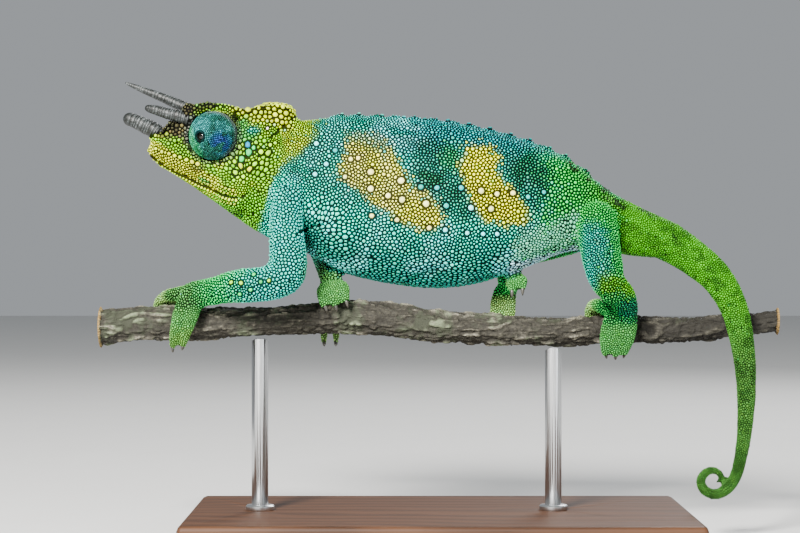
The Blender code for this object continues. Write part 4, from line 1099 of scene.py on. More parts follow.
def granule_size(places, masks, skin):
    """Half the spacing of the scales in millimetres, by where they grow."""
    x, _, z = places.T / MM
    rise = skin.rise(x, z)
    size = 0.57 - 0.11 * ramp(rise, 0.84, 0.99) - 0.09 * ramp(rise, 0.22, 0.02)
    size -= 0.05 * ramp(x, 28, 50) + 0.04 * ramp(x, -12, -22) * ramp(z, 96, 103)
    size -= 0.12 * ramp(path_distance(x, z, GROIN_PATH), 7.0, 3.0) * (1 - masks["limb"])
    size -= 0.10 * ramp(x, -34, -41) * (1 - masks["limb"])
    size *= 0.92 + 0.16 * lattice_noise(places, 9, 3)
    size -= 0.06 * ramp(shade_distance(x, z), 1.0, -1.5) * (1 - masks["limb"])
    head = 0.44 + 0.10 * ramp(x, -62, -66) * ramp(z, 108, 111)
    head += 0.38 * ramp(z + 0.25 * (x + 50), 121.5, 124.5) * ramp(x, -64, -59)
    head += 0.20 * ramp(np.hypot(x + 56.5, z - 113.5), 9.5, 5.5)
    head += 0.08 * ramp(z, 117, 120) * ramp(x, -72, -76) - 0.05 * ramp(x, -52, -46) * ramp(z, 121, 118)
    head -= 0.05 * ramp(z, 107, 101)
    eye = np.hypot(x - EYE_CENTRE[0], z - EYE_CENTRE[2])
    head -= 0.07 * ramp(eye, 10.0, 8.4) * ramp(z, 128, 126)
    size += masks["head"] * (head - size)
    tail = 0.38 - 0.05 * ramp(z, 60, 14)
    size += masks["tail"] * (tail - size)
    limb = 0.55 - 0.10 * ramp(x, 20, 30) - 0.10 * ramp(-x, 58, 72)
    size += masks["limb"] * (limb - size)
    size += masks["foot"] * (0.36 - size)
    return size


def scale_gap(places, masks):
    """Bare skin left between scales, in millimetres."""
    x, _, z = places.T / MM
    gap = 0.37 + 0.06 * ramp(shade_distance(x, z), 1.5, -1.5)
    gap += 0.07 * ramp(x, -12, -22) * ramp(z, 96, 103) + 0.06 * ramp(z, 113, 118)
    gap -= 0.12 * ramp(x, -34, -39) * ramp(z - np.interp(x, *NECK_EDGE), -1, 1)
    gap -= 0.20 * ramp(path_distance(x, z, GROIN_PATH), 7.0, 3.0)
    gap = by_part(masks, SCALE_GAPS, gap)
    return gap + 0.06 * masks["head"] * ramp(z, 122, 126)


def tangents(normal):
    """Two directions along the skin for each normal, the first as level as can be."""
    up = np.zeros_like(normal)
    up[:, 2] = 1
    steep = np.abs(normal[:, 2]) > 0.9
    up[steep] = (1, 0, 0)
    first = np.cross(up, normal)
    first /= np.maximum(np.linalg.norm(first, axis=1), 1e-9)[:, None]
    return first, np.cross(normal, first)


def cell_reaches(place, normal, size, gap, streak):
    """How far each scale reaches on each of its sides, in millimetres, so that all keep a gap."""
    count = len(place)
    strength = np.linalg.norm(streak, axis=1)
    streak = streak / np.maximum(strength, 1e-6)[:, None]
    first, second = tangents(normal)
    a, b = near_pairs(place, NEIGHBOUR_REACH * MM)
    alike = (normal[a] * normal[b]).sum(1) > 0.1
    a, b = a[alike], b[alike]
    close = np.linalg.norm(place[a] - place[b], axis=1) < 1.9 * (size[a] + size[b]) * MM
    a, b = a[close], b[close]
    own = np.concatenate([a, b])
    other = np.concatenate([b, a])
    order = np.argsort(own, kind="stable")
    own, other = own[order], other[order]
    apart = (place[other] - place[own]) / MM
    flat_x = (apart * first[own]).sum(1)
    flat_y = (apart * second[own]).sum(1)
    distance = np.maximum(np.linalg.norm(apart, axis=1), 1e-6)
    level = (apart * streak[own]).sum(1) / distance
    narrow = 1 - 0.45 * strength[own] * level**2
    between = np.where(gap[own] > 0.5, CHOSEN_BETWEEN, np.maximum(gap[own], gap[other]))
    share = distance * size[own] / (size[own] + size[other]) - between * narrow / 2
    starts = np.searchsorted(own, np.arange(count), "left")
    filled = np.bincount(own, minlength=count) > 0
    reaches = np.empty((count, SCALE_SIDES))
    limit = size * 1.06 - np.minimum(gap, 0.2) / 2
    for k in range(SCALE_SIDES):
        angle = 2 * math.pi * k / SCALE_SIDES
        lean = (math.cos(angle) * flat_x + math.sin(angle) * flat_y) / distance
        extent = np.where(lean > 0.25, share / np.maximum(lean, 0.25), 9.0)
        best = np.full(count, 9.0)
        best[filled] = np.minimum.reduceat(extent, starts[filled])
        facing = math.cos(angle) * (first * streak).sum(1) + math.sin(angle) * (second * streak).sum(1)
        reaches[:, k] = np.minimum(best, limit * (1 + STRETCH * 1.2 * strength * facing**2))
    return np.maximum(reaches, 0.3 * size[:, None])


def scale_mesh(name, place, normal, reaches, height, sink, uv, colours, rim_colours, lean=None):
    """Domed scales as one mesh: a rim, a shoulder and a crown on each."""
    count = len(place)
    first, second = tangents(normal)
    sides = SCALE_SIDES
    angles = 2 * np.pi * np.arange(sides) / sides
    ring = np.stack([np.cos(angles), np.sin(angles)], 1)
    out = ring[None, :, :1] * first[:, None, :] + ring[None, :, 1:] * second[:, None, :]
    rim = place[:, None, :] + out * reaches[:, :, None] * MM - normal[:, None, :] * (sink * MM)[:, None, None]
    lift = normal[:, None, :] * (SHOULDER_HEIGHT * height * MM)[:, None, None]
    shoulder = place[:, None, :] + out * reaches[:, :, None] * (SHOULDER * MM) + lift
    crown = place + normal * (height * MM)[:, None]
    if lean is not None:
        crown = crown + lean * MM
    crown = crown[:, None, :]
    verts = np.concatenate([rim, shoulder, crown], axis=1)
    per = 2 * sides + 1
    k = np.arange(sides)
    j = (k + 1) % sides
    quads = np.stack([k, j, sides + j, sides + k], 1)
    fans = np.stack([sides + k, sides + j, np.full(sides, 2 * sides)], 1)
    base = (np.arange(count) * per)[:, None, None]
    quad_loops = (quads[None] + base).reshape(count, -1)
    fan_loops = (fans[None] + base).reshape(count, -1)
    loops = np.concatenate([quad_loops, fan_loops], axis=1).ravel()
    sizes = np.tile(np.concatenate([np.full(sides, 4), np.full(sides, 3)]), count)
    starts = np.concatenate([[0], np.cumsum(sizes)[:-1]])
    mesh = bpy.data.meshes.new(name)
    mesh.vertices.add(count * per)
    mesh.vertices.foreach_set("co", verts.reshape(-1).astype(np.float32))
    mesh.loops.add(len(loops))
    mesh.loops.foreach_set("vertex_index", loops.astype(np.int32))
    mesh.polygons.add(len(sizes))
    mesh.polygons.foreach_set("loop_start", starts.astype(np.int32))
    mesh.polygons.foreach_set("loop_total", sizes.astype(np.int32))
    mesh.update(calc_edges=True)
    patch = np.concatenate([ring, ring * 0.7, np.zeros((1, 2))]) * UV_PATCH / 2
    spread = (uv[:, None, :] + patch[None]).reshape(-1, 2)
    layer = mesh.uv_layers.new(name="OFBake")
    layer.data.foreach_set("uv", spread[loops].astype(np.float32).ravel())
    shades = np.repeat(colours, per, axis=0).reshape(count, per, 3)
    # Rims take the gap colour, painted shade at each scale's foot; crowns are made brighter, a painted
    # highlight.
    shades[:, :sides] = rim_colours[:, None]
    shades[:, -1] = np.minimum(shades[:, -1] * 1.15, 0.95)
    set_colours(mesh, "tint", shades.reshape(-1, 3))
    set_amounts(mesh, "rise", np.tile(np.concatenate([np.zeros(sides), np.ones(sides + 1)]), count))
    obj = link(name, mesh)
    select_only(obj)
    bpy.ops.object.shade_smooth()
    return obj


def blend(base, amount, name):
    """Lay a palette colour over the base by amount from 0 to 1."""
    return base + np.clip(amount, 0, 1)[:, None] * (linear(name) - base)


def markings(places, masks, skin, stray=0.0):
    """The animal's colour at places on its skin, the same for the skin and its scales.

    Bare numbers here and in the next two functions are places and distances in millimetres in the side view,
    or shares from 0 to 1.
    """
    x, y, z = places.T / MM
    wander = (lattice_noise(places, 7, 11) - 0.5) * 3.2 + stray
    fine = lattice_noise(places, 2.2, 12) - 0.5
    rise = skin.rise(x, z) + 0.05 * fine + 0.02 * wander
    base = np.tile(linear("turquoise"), (len(x), 1))
    base = blend(base, 0.7 * ramp(rise, 0.50, 0.80) * ramp(x, -30, -10), "deep_turquoise")
    # The lower flank and belly turn darker blue-teal: painted shade on the underside.
    base = blend(base, ramp(rise, 0.36, 0.10), "belly")
    base = blend(base, 0.35 * ramp(lattice_noise(places, 5, 31), 0.5, 0.75), "pale")
    base = blend(base, ramp(rise, 0.72, 0.90) * ramp(x + wander, -20, -4), "cyan")
    base = blend(base, ramp(x + 2 * wander, 24, 36) * (1 - 0.7 * ramp(rise, 0.84, 0.97)), "rear_green")
    tail = ramp(x + wander, 38, 53) * (1 - 0.5 * ramp(rise, 0.84, 0.97) * ramp(x, 60, 50))
    base = blend(base, tail, "tail")
    for outline in (FRONT_SHADE, REAR_SHADE):
        shade = ramp(outline_distance(x, z, outline) + wander * 0.9, 2.4, -2.4)
        cloudy = 0.55 + 0.45 * ramp(lattice_noise(places, 4.5, 33), 0.3, 0.6)
        base = blend(base, shade * cloudy, "dark_teal")
    base = blend(base, 0.5 * ramp(np.hypot(x - 3.5, z - 114) + wander, 6.0, 2.0), "rear_green")
    rear = ramp(outline_distance(x, z, REAR_PATCH) + wander * 0.8, 1.0, -1.0)
    base = blend(base, rear, "patch")
    front = ramp(outline_distance(x, z, FRONT_PATCH) + wander * 0.9, 1.2, -1.2)
    over = ramp(np.hypot(x + 14, (z - 120.5) * 1.6) + wander * 1.5, 13.0, 5.0)
    base = blend(base, 0.65 * over * ramp(lattice_noise(places, 3, 34), 0.35, 0.6), "pale")
    front *= 1 - 0.8 * ramp(z + 1.6 * wander, 112.5, 120)
    base = blend(base, front, "patch_pale")
    base = blend(base, front * 0.65 * ramp(lattice_noise(places, 3.5, 15), 0.38, 0.62), "patch")
    groin = ramp(path_distance(x, z, GROIN_PATH) + wander * 1.1, 7.0, 2.4)
    base = blend(base, 0.9 * groin, "groin")
    base = blend(base, 0.85 * ramp(path_distance(x, z, LILAC_PATH) + 0.2 * wander, 2.3, 1.2), "mauve")
    edge = z - np.interp(x, *NECK_EDGE) + wander * 0.6
    neck = ramp(x + wander * 1.3, -34.5, -38.5) * ramp(edge, -1.6, 1.6)
    base = blend(base, neck, "neck")
    warm = ramp(np.hypot((x + 43.0) * 0.7, z - 117.5) + wander, 4.5, 1.5)
    base = blend(base, 0.6 * warm * neck, "yellow")
    head_colour = head_markings(places, wander)
    above = np.maximum(ramp(edge, -2.2, 0.4), ramp(x, -50.5, -53))
    head_share = ramp(masks["head"] + 0.06 * wander, 0.25, 0.75) * above
    base = base + head_share[:, None] * (head_colour - base)
    tail_colour = np.tile(linear("tail"), (len(x), 1))
    tail_colour = blend(tail_colour, ramp(z, 78, 50) * 0.8, "tail_low")
    speckle = 0.6 * ramp(lattice_noise(places, 1.5, 21), 0.58, 0.72)
    tail_colour = blend(tail_colour, speckle, "tail_dark")
    cloud = 0.45 * ramp(lattice_noise(places, 4.2, 22), 0.60, 0.74)
    tail_colour = blend(tail_colour, cloud, "tail_dark")
    base = base + ramp(masks["tail"] + 0.05 * wander, 0.2, 0.8)[:, None] * (tail_colour - base)
    grain = ramp(lattice_noise(places, 1.3, 23), 0.32, 0.52)
    for smudge_x, smudge_z, reach in SMUDGES:
        near = ramp(np.hypot(x - smudge_x, z - smudge_z) + 0.7 * wander, reach, 0.4 * reach)
        base = blend(base, near * grain, "tail_dark")
    limb_colour = limb_markings(x, z, wander)
    limb_colour = blend(limb_colour, 0.8 * masks["foot"], "hand")
    near_hand = masks["foot"] * ramp(-x, 50, 54)
    limb_colour = blend(limb_colour, 0.9 * near_hand * ramp(z + wander, 66, 60), "toe")
    limb_colour = blend(limb_colour, 0.8 * masks["foot"] * ramp(y, -1.0, 1.0), "far_hand")
    base = base + ramp(masks["limb"] + 0.16 * wander, 0.3, 0.7)[:, None] * (limb_colour - base)
    return np.clip(base, 0.0005, 0.95)


def limb_markings(x, z, wander):
    """Turquoise arms turning green at the hand, green hind legs with a teal shin and a painted shade spot."""
    colour = np.tile(linear("arm"), (len(x), 1))
    colour = blend(colour, ramp(-x + wander, 52, 66) * (x < -30), "mint")
    colour = blend(colour, ramp(-x + wander, 66, 76) * (x < -30), "hand")
    far = ramp(x, -42, -38) * ramp(z + wander, 88, 78) * (x < 0)
    colour = blend(colour, far, "hand")
    hind = ramp(x, 10, 14)
    colour = blend(colour, hind, "thigh")
    colour = blend(colour, hind * 0.7 * ramp(z + wander, 88, 95), "rear_green")
    front_edge = ramp(x + wander, 51, 46) * ramp(z, 72, 76) * ramp(z + wander, 97, 91) * ramp(x, 40, 43)
    colour = blend(colour, hind * 0.8 * front_edge, "deep_turquoise")
    colour = blend(colour, hind * ramp(z + wander, 80, 76) * ramp(x, 44, 47), "knee")
    colour = blend(colour, hind * 0.8 * ramp(z + wander, 75, 72) * ramp(x, 44, 47), "shin")
    # A dark teal spot between the near hind knee and ankle is painted shade.
    return blend(colour, ramp(np.hypot(x - 56, z - 68.5) + wander, 4.5, 2.5), "dark_teal")


def head_markings(places, wander):
    """Yellow-green cheeks, a yellow casque, a tan snout and cream lips."""
    x, _, z = places.T / MM
    mixed = lattice_noise(places, 2.6, 41)
    colour = np.tile(linear("head"), (len(x), 1))
    colour = blend(colour, 0.8 * ramp(mixed, 0.45, 0.7), "lime")
    colour = blend(colour, 0.6 * ramp(lattice_noise(places, 3.1, 42), 0.55, 0.72), "yellow")
    colour = blend(colour, ramp(z + wander * 0.6, 106, 100), "throat")
    temple = ramp(np.hypot(x + 57.5, z - 121.0) + wander * 0.5, 4.5, 2.5)
    colour = blend(colour, 0.8 * temple, "thigh")
    teal = ramp(np.hypot((x + 55.2) * 0.6, z - 121.6) + wander * 0.3, 1.8, 0.8)
    colour = blend(colour, 0.8 * teal, "deep_turquoise")
    casque = ramp(x + wander * 0.4, -64, -59) * ramp(z + 0.25 * (x + 50) + wander * 0.3, 122, 124.5)
    colour = blend(colour, casque, "casque")
    lip = ramp(path_distance(x, z, MOUTH_LINE) + wander * 0.3, 4.8, 3.4) * ramp(x, -63, -68)
    lip *= ramp(z - np.interp(x, *np.transpose(MOUTH_LINE)), -0.9, -0.1)
    colour = blend(colour, 0.85 * lip, "lip")
    grey = ramp(np.hypot((x + 72.0) * 0.7, z - 110.6) + wander * 0.3, 2.4, 1.2)
    colour = blend(colour, 0.7 * grey, "snout")
    strip = ramp(np.hypot((x + 70.2) * 0.45, z - 106.6 + 0.4 * (x + 70.2)), 1.2, 0.6)
    colour = blend(colour, 0.8 * strip, "thigh")
    snout = ramp(z + 0.30 * (x + 80) + wander * 0.5, 118.0, 120.4) * ramp(x + wander * 0.3, -71, -74)
    colour = blend(colour, snout, "snout")
    colour = blend(colour, snout * 0.85 * ramp(lattice_noise(places, 1.9, 43), 0.50, 0.62), "brow")
    brow = ramp(path_distance(x, z, BROW_DARK) + wander * 0.4, 2.6, 1.2) * ramp(z, 122.5, 124.5)
    colour = blend(colour, brow * 0.9, "brow")
    eye = np.hypot(x - EYE_CENTRE[0], z - EYE_CENTRE[2])
    return blend(colour, 0.7 * ramp(eye, 9.4, 8.2) * ramp(z + wander * 0.3, 127.5, 125.5), "turret_rim")


def gap_shade(masks):
    """How much of a marking's colour is left in the gaps between scales, with painted shade there."""
    return by_part(masks, GAP_SHADE)[:, None]


def scale_colours(sites, rng):
    """Each scale's own colour: the marking where it grows, a little off from its neighbours'."""
    base = markings(sites.place, sites.masks, sites.skin, rng.normal(0, STRAY, len(sites.place)))
    # The scales' rims take the gap colour: painted shade at each scale's foot.
    rims = base * gap_shade(sites.masks)
    for index, (name, *_rest) in enumerate(TUBERCLES):
        base[sites.named == index] = linear(name)
    lips = sites.named == LIP
    base[lips] = 0.4 * base[lips] + 0.6 * linear("lip")
    brow = sites.named == BROW
    lit = ramp(sites.place[:, 0] / MM, -69.5, -64.5)[:, None]
    base[brow] = (linear("brow") + lit * (linear("casque") - linear("brow")))[brow]
    base[sites.named == RIDGE] *= CREST_LIGHT
    light = np.exp(rng.normal(0, LIGHT_SPREAD, len(base)))
    base = base * light[:, None]
    warm = rng.normal(0, WARM_SPREAD, len(base))
    base[:, 0] *= 1 + warm
    base[:, 2] *= 1 - warm
    return np.clip(base, 0, 0.95), rims


def scale_look():
    look = Look("chameleon_scales", specular_ior_level=0.07)
    tint = look.attribute("tint")
    grain = look.noise(2600, 2.0) * 0.36 + 0.82
    mottle = look.noise(700, 2.0) * 0.24 + 0.88
    # Each scale darkens down its sides toward its rim: painted shade at its foot.
    side = look.attribute("rise", "Fac").ramp(0.30, 0.85) * 0.9 + 0.1
    look.surface("Base Color", look.mix(1.0, tint, look.grey(grain * mottle * side), "MULTIPLY"))
    look.surface("Roughness", look.noise(900, 1.0) * 0.25 + 0.30)
    look.surface("Normal", look.bump(look.noise(3400, 2.0), 0.3, 0.00006))
    return look.material


def skin_look():
    look = Look("chameleon_skin", specular_ior_level=0.03)
    tint = look.attribute("tint")
    granules = look.cells(2400)
    spots = granules.ramp(0.6, 0.15) * 1.1 + 0.55
    look.surface("Base Color", look.mix(1.0, tint, look.grey(spots), "MULTIPLY"))
    look.surface("Roughness", look.noise(700, 1.0) * 0.3 + 0.50)
    look.surface("Normal", look.bump(1 - granules, 0.5, 0.00012))
    return look.material


def wear(piece, look, slot, *nodes):
    """Give a piece its material and hide the nodes that it stands for; the slot is not used."""
    piece.data.materials.clear()
    piece.data.materials.append(look)
    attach(piece, "root")
    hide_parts(*nodes)


def coat(skin, rng):
    """All scales in a few joined pieces."""
    sites = Scales(skin, rng)
    colours, rims = scale_colours(sites, rng)
    masks = sites.masks
    mean = sites.reaches.mean(1)
    depth = by_part(masks, COAT_DEPTH)
    height = np.minimum(np.clip(SCALE_HEIGHT * mean, LEAST_HEIGHT, MOST_HEIGHT), depth + PROUD)
    ridge = sites.named == RIDGE
    height[ridge] = CREST_HEIGHT * sites.size[ridge]
    lean = np.zeros((len(mean), 3))
    lean[ridge, 0] = CREST_LEAN * sites.size[ridge]
    sink = SINK_LEAST + SINK_SHARE * mean
    x, y, _ = sites.place.T / MM
    limb = masks["limb"] > 0.5
    head = (masks["head"] > 0.5) & ~limb
    tail = (masks["tail"] > 0.5) & ~limb
    trunk = ~(limb | head | tail)
    groups = {
        "scales_head": (head, "skin_head", HEAD_NODES),
        "scales_tail": (tail, "skin_tail", TAIL_NODES),
        "scales_front_legs": (limb & (x < LEG_SPLIT), "skin_limb", FRONT_NODES),
        "scales_hind_legs": (limb & (x >= LEG_SPLIT), "skin_limb", HIND_NODES),
        "scales_flank_left": (trunk & (y < 0), "skin_body", TRUNK_NODES),
        "scales_flank_right": (trunk & (y >= 0), "skin_body", TRUNK_NODES),
    }
    look = scale_look()
    for name, (chosen, slot, nodes) in groups.items():
        rows = np.flatnonzero(chosen)
        fields = (sites.place, sites.normal, sites.reaches, height, sink, sites.uv)
        shape = [values[rows] for values in fields]
        piece = scale_mesh(name, *shape, colours[rows], rims[rows], lean[rows])
        wear(piece, look, slot, *nodes)


def tube(name, rows, roundness):
    """A round form along rows of x, y, z, radius in millimetres, as a bevelled curve made solid."""
    curve = bpy.data.curves.new(name, "CURVE")
    curve.dimensions = "3D"
    curve.bevel_depth = MM
    curve.bevel_resolution = roundness
    curve.use_fill_caps = True
    line = curve.splines.new("POLY")
    line.points.add(len(rows) - 1)
    for point, (x, y, z, radius) in zip(line.points, rows):
        point.co = (x * MM, y * MM, z * MM, 1)
        point.radius = radius
    obj = link(name, curve)
    select_only(obj)
    bpy.ops.object.convert(target="MESH")
    bpy.ops.object.shade_smooth()
    return obj


def rounded_tip(rows):
    """The rows of a path with its last stretch rounded off."""
    left = np.linalg.norm(rows[:, :3] - rows[-1, :3], axis=1)
    rows = rows[left >= 0.95 * rows[-1, 3]]
    end = rows[-1]
    out = end[:3] - rows[-2, :3]
    out = out / np.linalg.norm(out)
    more = [[*(end[:3] + out * past * end[3]), end[3] * share] for past, share in ROUND_END]
    return np.vstack([rows, more])


def horn(name, path):
    """A ringed horn, rougher toward its root."""
    rows = smooth_path(path, 24)
    length = np.concatenate([[0], np.cumsum(np.linalg.norm(np.diff(rows[:, :3], axis=0), axis=1))])
    turns = length / HORN_RING[name] + 0.22 * np.sin(length * 1.9) + 0.12 * np.sin(length * 4.3)
    ring = 0.5 + 0.5 * np.cos(2 * np.pi * turns)
    fade = 1 - 0.45 * length / length[-1]
    rows[:, 3] *= 1 - 0.085 * (1 - ring) ** 2 * fade
    rows = rounded_tip(rows)
    kept = len(rows) - len(ROUND_END)
    obj = tube(name + "_keratin", rows, 12)
    co = vertex_places(obj.data)
    near = ((co[:, None] - rows[None, :, :3] * MM) ** 2).sum(2).argmin(1)
    ring = np.concatenate([ring[:kept], np.zeros(len(ROUND_END))])[near]
    along = np.concatenate([length[:kept] / length[-1], np.ones(len(ROUND_END))])[near]
    out = co - rows[near, :3] * MM
    rough = (lattice_noise(co, 0.9, 51) - 0.5) * 0.10 + (lattice_noise(co, 0.4, 52) - 0.5) * 0.05
    set_vertex_places(obj.data, co + out * rough[:, None] * (1.3 - along)[:, None])
    set_amounts(obj.data, "ring", ring)
    set_amounts(obj.data, "along", along)
    return obj


def horn_look():
    look = Look("horn_keratin", specular_ior_level=0.35)
    ring = look.attribute("ring", "Fac")
    along = look.attribute("along", "Fac")
    streak = look.noise(1.0, 4.0, look.stretched((500, 2200, 2200)), 0.65)
    blotch = look.noise(620, 3.0)
    amount = ring * 0.42 + streak * 1.3 + blotch - 1.12
    stops = {"stops": ((0.05, linear("horn_dark")), (0.45, linear("horn_mid")), (0.85, linear("horn_light")))}
    colour = look.add("ShaderNodeValToRGB", stops, {0: amount})
    # Darker toward the root, broken up by noise.
    root_darkening = (look.noise(1500, 3.0) - 0.5) * 1.6 + (0.35 - along)
    colour = look.mix(root_darkening.ramp(0.1, 0.5) * 0.7, colour, linear("horn_dark"))
    look.surface("Base Color", colour)
    look.surface("Roughness", streak * 0.35 + 0.25)
    height = look.noise(1.0, 4.0, look.stretched((900, 3000, 3000)), 0.7)
    look.surface("Normal", look.bump(height + ring * 0.4, 0.5, 0.00018))
    return look.material


def claw(name, row):
    """One hooked claw that bends toward the middle of the perch."""
    root, tip = np.array(row[:3]), np.array(row[3:])
    out = (tip - root) / np.linalg.norm(tip - root)
    inward = np.array((0.0, -tip[1], PERCH_HEIGHT - tip[2]))
    bend = inward - (inward @ out) * out
    bend /= np.linalg.norm(bend)
    rows = [[*(tip + out * along + bend * aside), radius] for along, aside, radius in CLAW_SHAPE]
    return tube(name, smooth_path(rows, 5), 3)


def claws(look):
    for node, rows in CLAW_ROOTS.items():
        wear(join([claw("claws_" + node, row) for row in rows]), look, "horn", node)


def claw_look():
    look = Look("claw_keratin", specular_ior_level=0.5)
    streak = look.noise(1.0, 3.0, look.stretched((1500, 1500, 500)), 0.6)
    stops = {"stops": ((0.3, linear("horn_dark")), (0.5, linear("claw")), (0.72, linear("horn_mid")))}
    look.surface("Base Color", look.add("ShaderNodeValToRGB", stops, {0: streak}))
    look.surface("Roughness", streak * 0.3 + 0.2)
    look.surface("Normal", look.bump(look.noise(2500, 2.0), 0.3, 0.00008))
    return look.material


def gaze_turn(side):
    """Turns a form that looks up into one that looks along the gaze, with the eye's place in millimetres."""
    gaze = Vector((GAZE[0], side * GAZE[1], GAZE[2]))
    turn = np.array(Vector((0, 0, 1)).rotation_difference(gaze).to_matrix())
    return turn, eye_centre(side)


def turret_radius(angle):
    """How far the turret's skin lies from the eye's centre, by the angle from the gaze."""
    return TURRET_RADIUS + TURRET_CONE * np.exp(-(((angle - 0.2) / 0.22) ** 2))


def flat_map(angle, spin):
    """Spots on a round flat map of the eye, by the angle from the gaze and the turn about it."""
    return 0.5 + 0.48 * (angle / np.pi)[:, None] * np.stack([np.cos(spin), np.sin(spin)], 1)


def turned(name, profile, side, steps=72):
    """A form turned from a profile of radius, height in millimetres, set in the orbit on one side."""
    mesh = bpy.data.meshes.new(name)
    corners = [(radius * MM, 0, height * MM) for radius, height in profile]
    mesh.from_pydata(corners, [(i, i + 1) for i in range(len(profile) - 1)], [])
    obj = link(name, mesh)
    screw = obj.modifiers.new("turn", "SCREW")
    screw.steps = steps
    screw.render_steps = steps
    screw.use_merge_vertices = True
    screw.merge_threshold = 0.01 * MM
    apply_all(obj)
    local = vertex_places(obj.data)
    angle = np.arccos(np.clip(local[:, 2] / np.linalg.norm(local, axis=1), -1, 1))
    spin = np.arctan2(local[:, 1], local[:, 0])
    set_amounts(obj.data, "reach", np.hypot(local[:, 0], local[:, 1]) / MM)
    flat = flat_map(angle, spin)
    layer = obj.data.uv_layers.new(name="OFBake")
    corner = gathered(obj.data.loops, "vertex_index", 1, np.int32)[:, 0]
    layer.data.foreach_set("uv", flat[corner].astype(np.float32).ravel())
    turn, centre = gaze_turn(side)
    set_vertex_places(obj.data, local @ turn.T + centre * MM)
    in_edit_mode(obj, bpy.ops.mesh.normals_make_consistent, inside=False)
    bpy.ops.object.shade_smooth()
    return obj


def turret_colours(places, centre):
    """Blue-green with violet low at the back, pale blue above the pupil and a grey rim behind."""
    x, _, z = (places / MM - centre).T
    colour = np.tile(linear("turret"), (len(x), 1))
    mixed = lattice_noise(places, 1.6, 61)
    colour = blend(colour, 0.75 * ramp(np.hypot(x + 3.4, z - 1.8), 4.2, 1.4), "turret_light")
    colour = blend(colour, 0.55 * ramp(mixed, 0.45, 0.7), "turret_light")
    violet = ramp(np.hypot(x - 2.6, z + 2.4), 4.6, 1.2) * ramp(mixed, 0.3, 0.5)
    colour = blend(colour, 0.85 * violet, "turret_blue")
    colour = blend(colour, 0.35 * ramp(-x - 0.4 * z, 4.2, 6.4), "thigh")
    rim = ramp(np.hypot(x, z), 5.9, 7.0) * ramp(x + 0.4 * z, -1.0, 3.0)
    return blend(colour, 0.8 * rim, "turret_rim")


def turret_scales(side, rng):
    """Granules in rings round the lid opening: places, outward directions and spots on the flat map."""
    turn, centre = gaze_turn(side)
    places, ways, flats = [], [], []
    angle, last = TURRET_RINGS
    ring = 0
    while angle < last:
        radius = turret_radius(angle)
        count = round(2 * np.pi * radius * math.sin(angle) / GRANULE)
        spin = 2 * np.pi * (np.arange(count) + 0.5 * (ring % 2)) / count
        spin = spin + rng.normal(0, 0.07, count) / count * 6
        tilt = angle + rng.normal(0, 0.006, count)
        way = np.stack([np.sin(tilt) * np.cos(spin), np.sin(tilt) * np.sin(spin), np.cos(tilt)], 1)
        places.append(way * turret_radius(tilt)[:, None])
        ways.append(way)
        flats.append(flat_map(tilt, spin))
        angle += 0.88 * GRANULE / radius
        ring += 1
    places = (np.vstack(places) @ turn.T + centre) * MM
    return places, np.vstack(ways) @ turn.T, np.vstack(flats)


def eye(side, label, rng, looks):
    """The turret with its lids and granules, and the eyeball that shows between the lids."""
    angles = np.linspace(*TURRET_SKIN, 56)
    dome = [(turret_radius(a) * math.sin(a), turret_radius(a) * math.cos(a)) for a in angles]
    turret = turned("eye_turret_skin_" + label, LID_EDGE + tuple(dome), side)
    _, centre = gaze_turn(side)
    # The turret's skin between granules is darkened: painted shade in the gaps.
    set_colours(turret.data, "tint", turret_colours(vertex_places(turret.data), centre) * TURRET_GAP_SHADE)
    wear(turret, looks["turret"], "eye_skin", "eye_turret_" + label)
    places, ways, flats = turret_scales(side, rng)
    size = GRANULE * 0.5 * np.exp(rng.normal(0, TURRET_SIZES, len(places)))
    gaps, heights, sinks = (np.full(len(places), v) for v in (TURRET_GAP, TURRET_HEIGHT, TURRET_SINK))
    reaches = cell_reaches(places, ways, size, gaps, np.zeros_like(places))
    colours = turret_colours(places, centre) * np.exp(rng.normal(-0.05, TURRET_LIGHTS, len(places)))[:, None]
    # The granules' rims are darkened: painted shade at their feet.
    rims = colours * TURRET_RIM_SHADE
    shape = (places, ways, reaches, heights, sinks, flats, np.clip(colours, 0, 0.9), rims)
    wear(scale_mesh("eye_turret_scales_" + label, *shape), looks["scales"], "eye_skin", "eye_turret_" + label)
    ball = turned("eyeball_wet_" + label, EYEBALL, side, 40)
    wear(ball, looks["eyeball"], "eyeball", "eyeball_" + label)


def eyeball_look():
    look = Look("eyeball", specular_ior_level=0.25, coat_roughness=0.02)
    reach = look.attribute("reach", "Fac") + look.noise(1800, 2.0) * 0.16
    colour = look.mix(reach.ramp(1.10, 1.20), linear("gap_brow"), linear("iris"))
    look.surface("Base Color", colour)
    look.surface("Roughness", look.noise(1500, 1.0) * 0.06 + 0.05)
    look.surface("Coat Weight", look.noise(300, 1.0) * 0.1 + 0.35)
    return look.material


def plain_copy(name, source):
    """A copy of a solid with its split corners merged."""
    obj = link(name, source.data.copy())
    in_edit_mode(obj, bpy.ops.mesh.remove_doubles, threshold=MERGE * MM)
    return obj


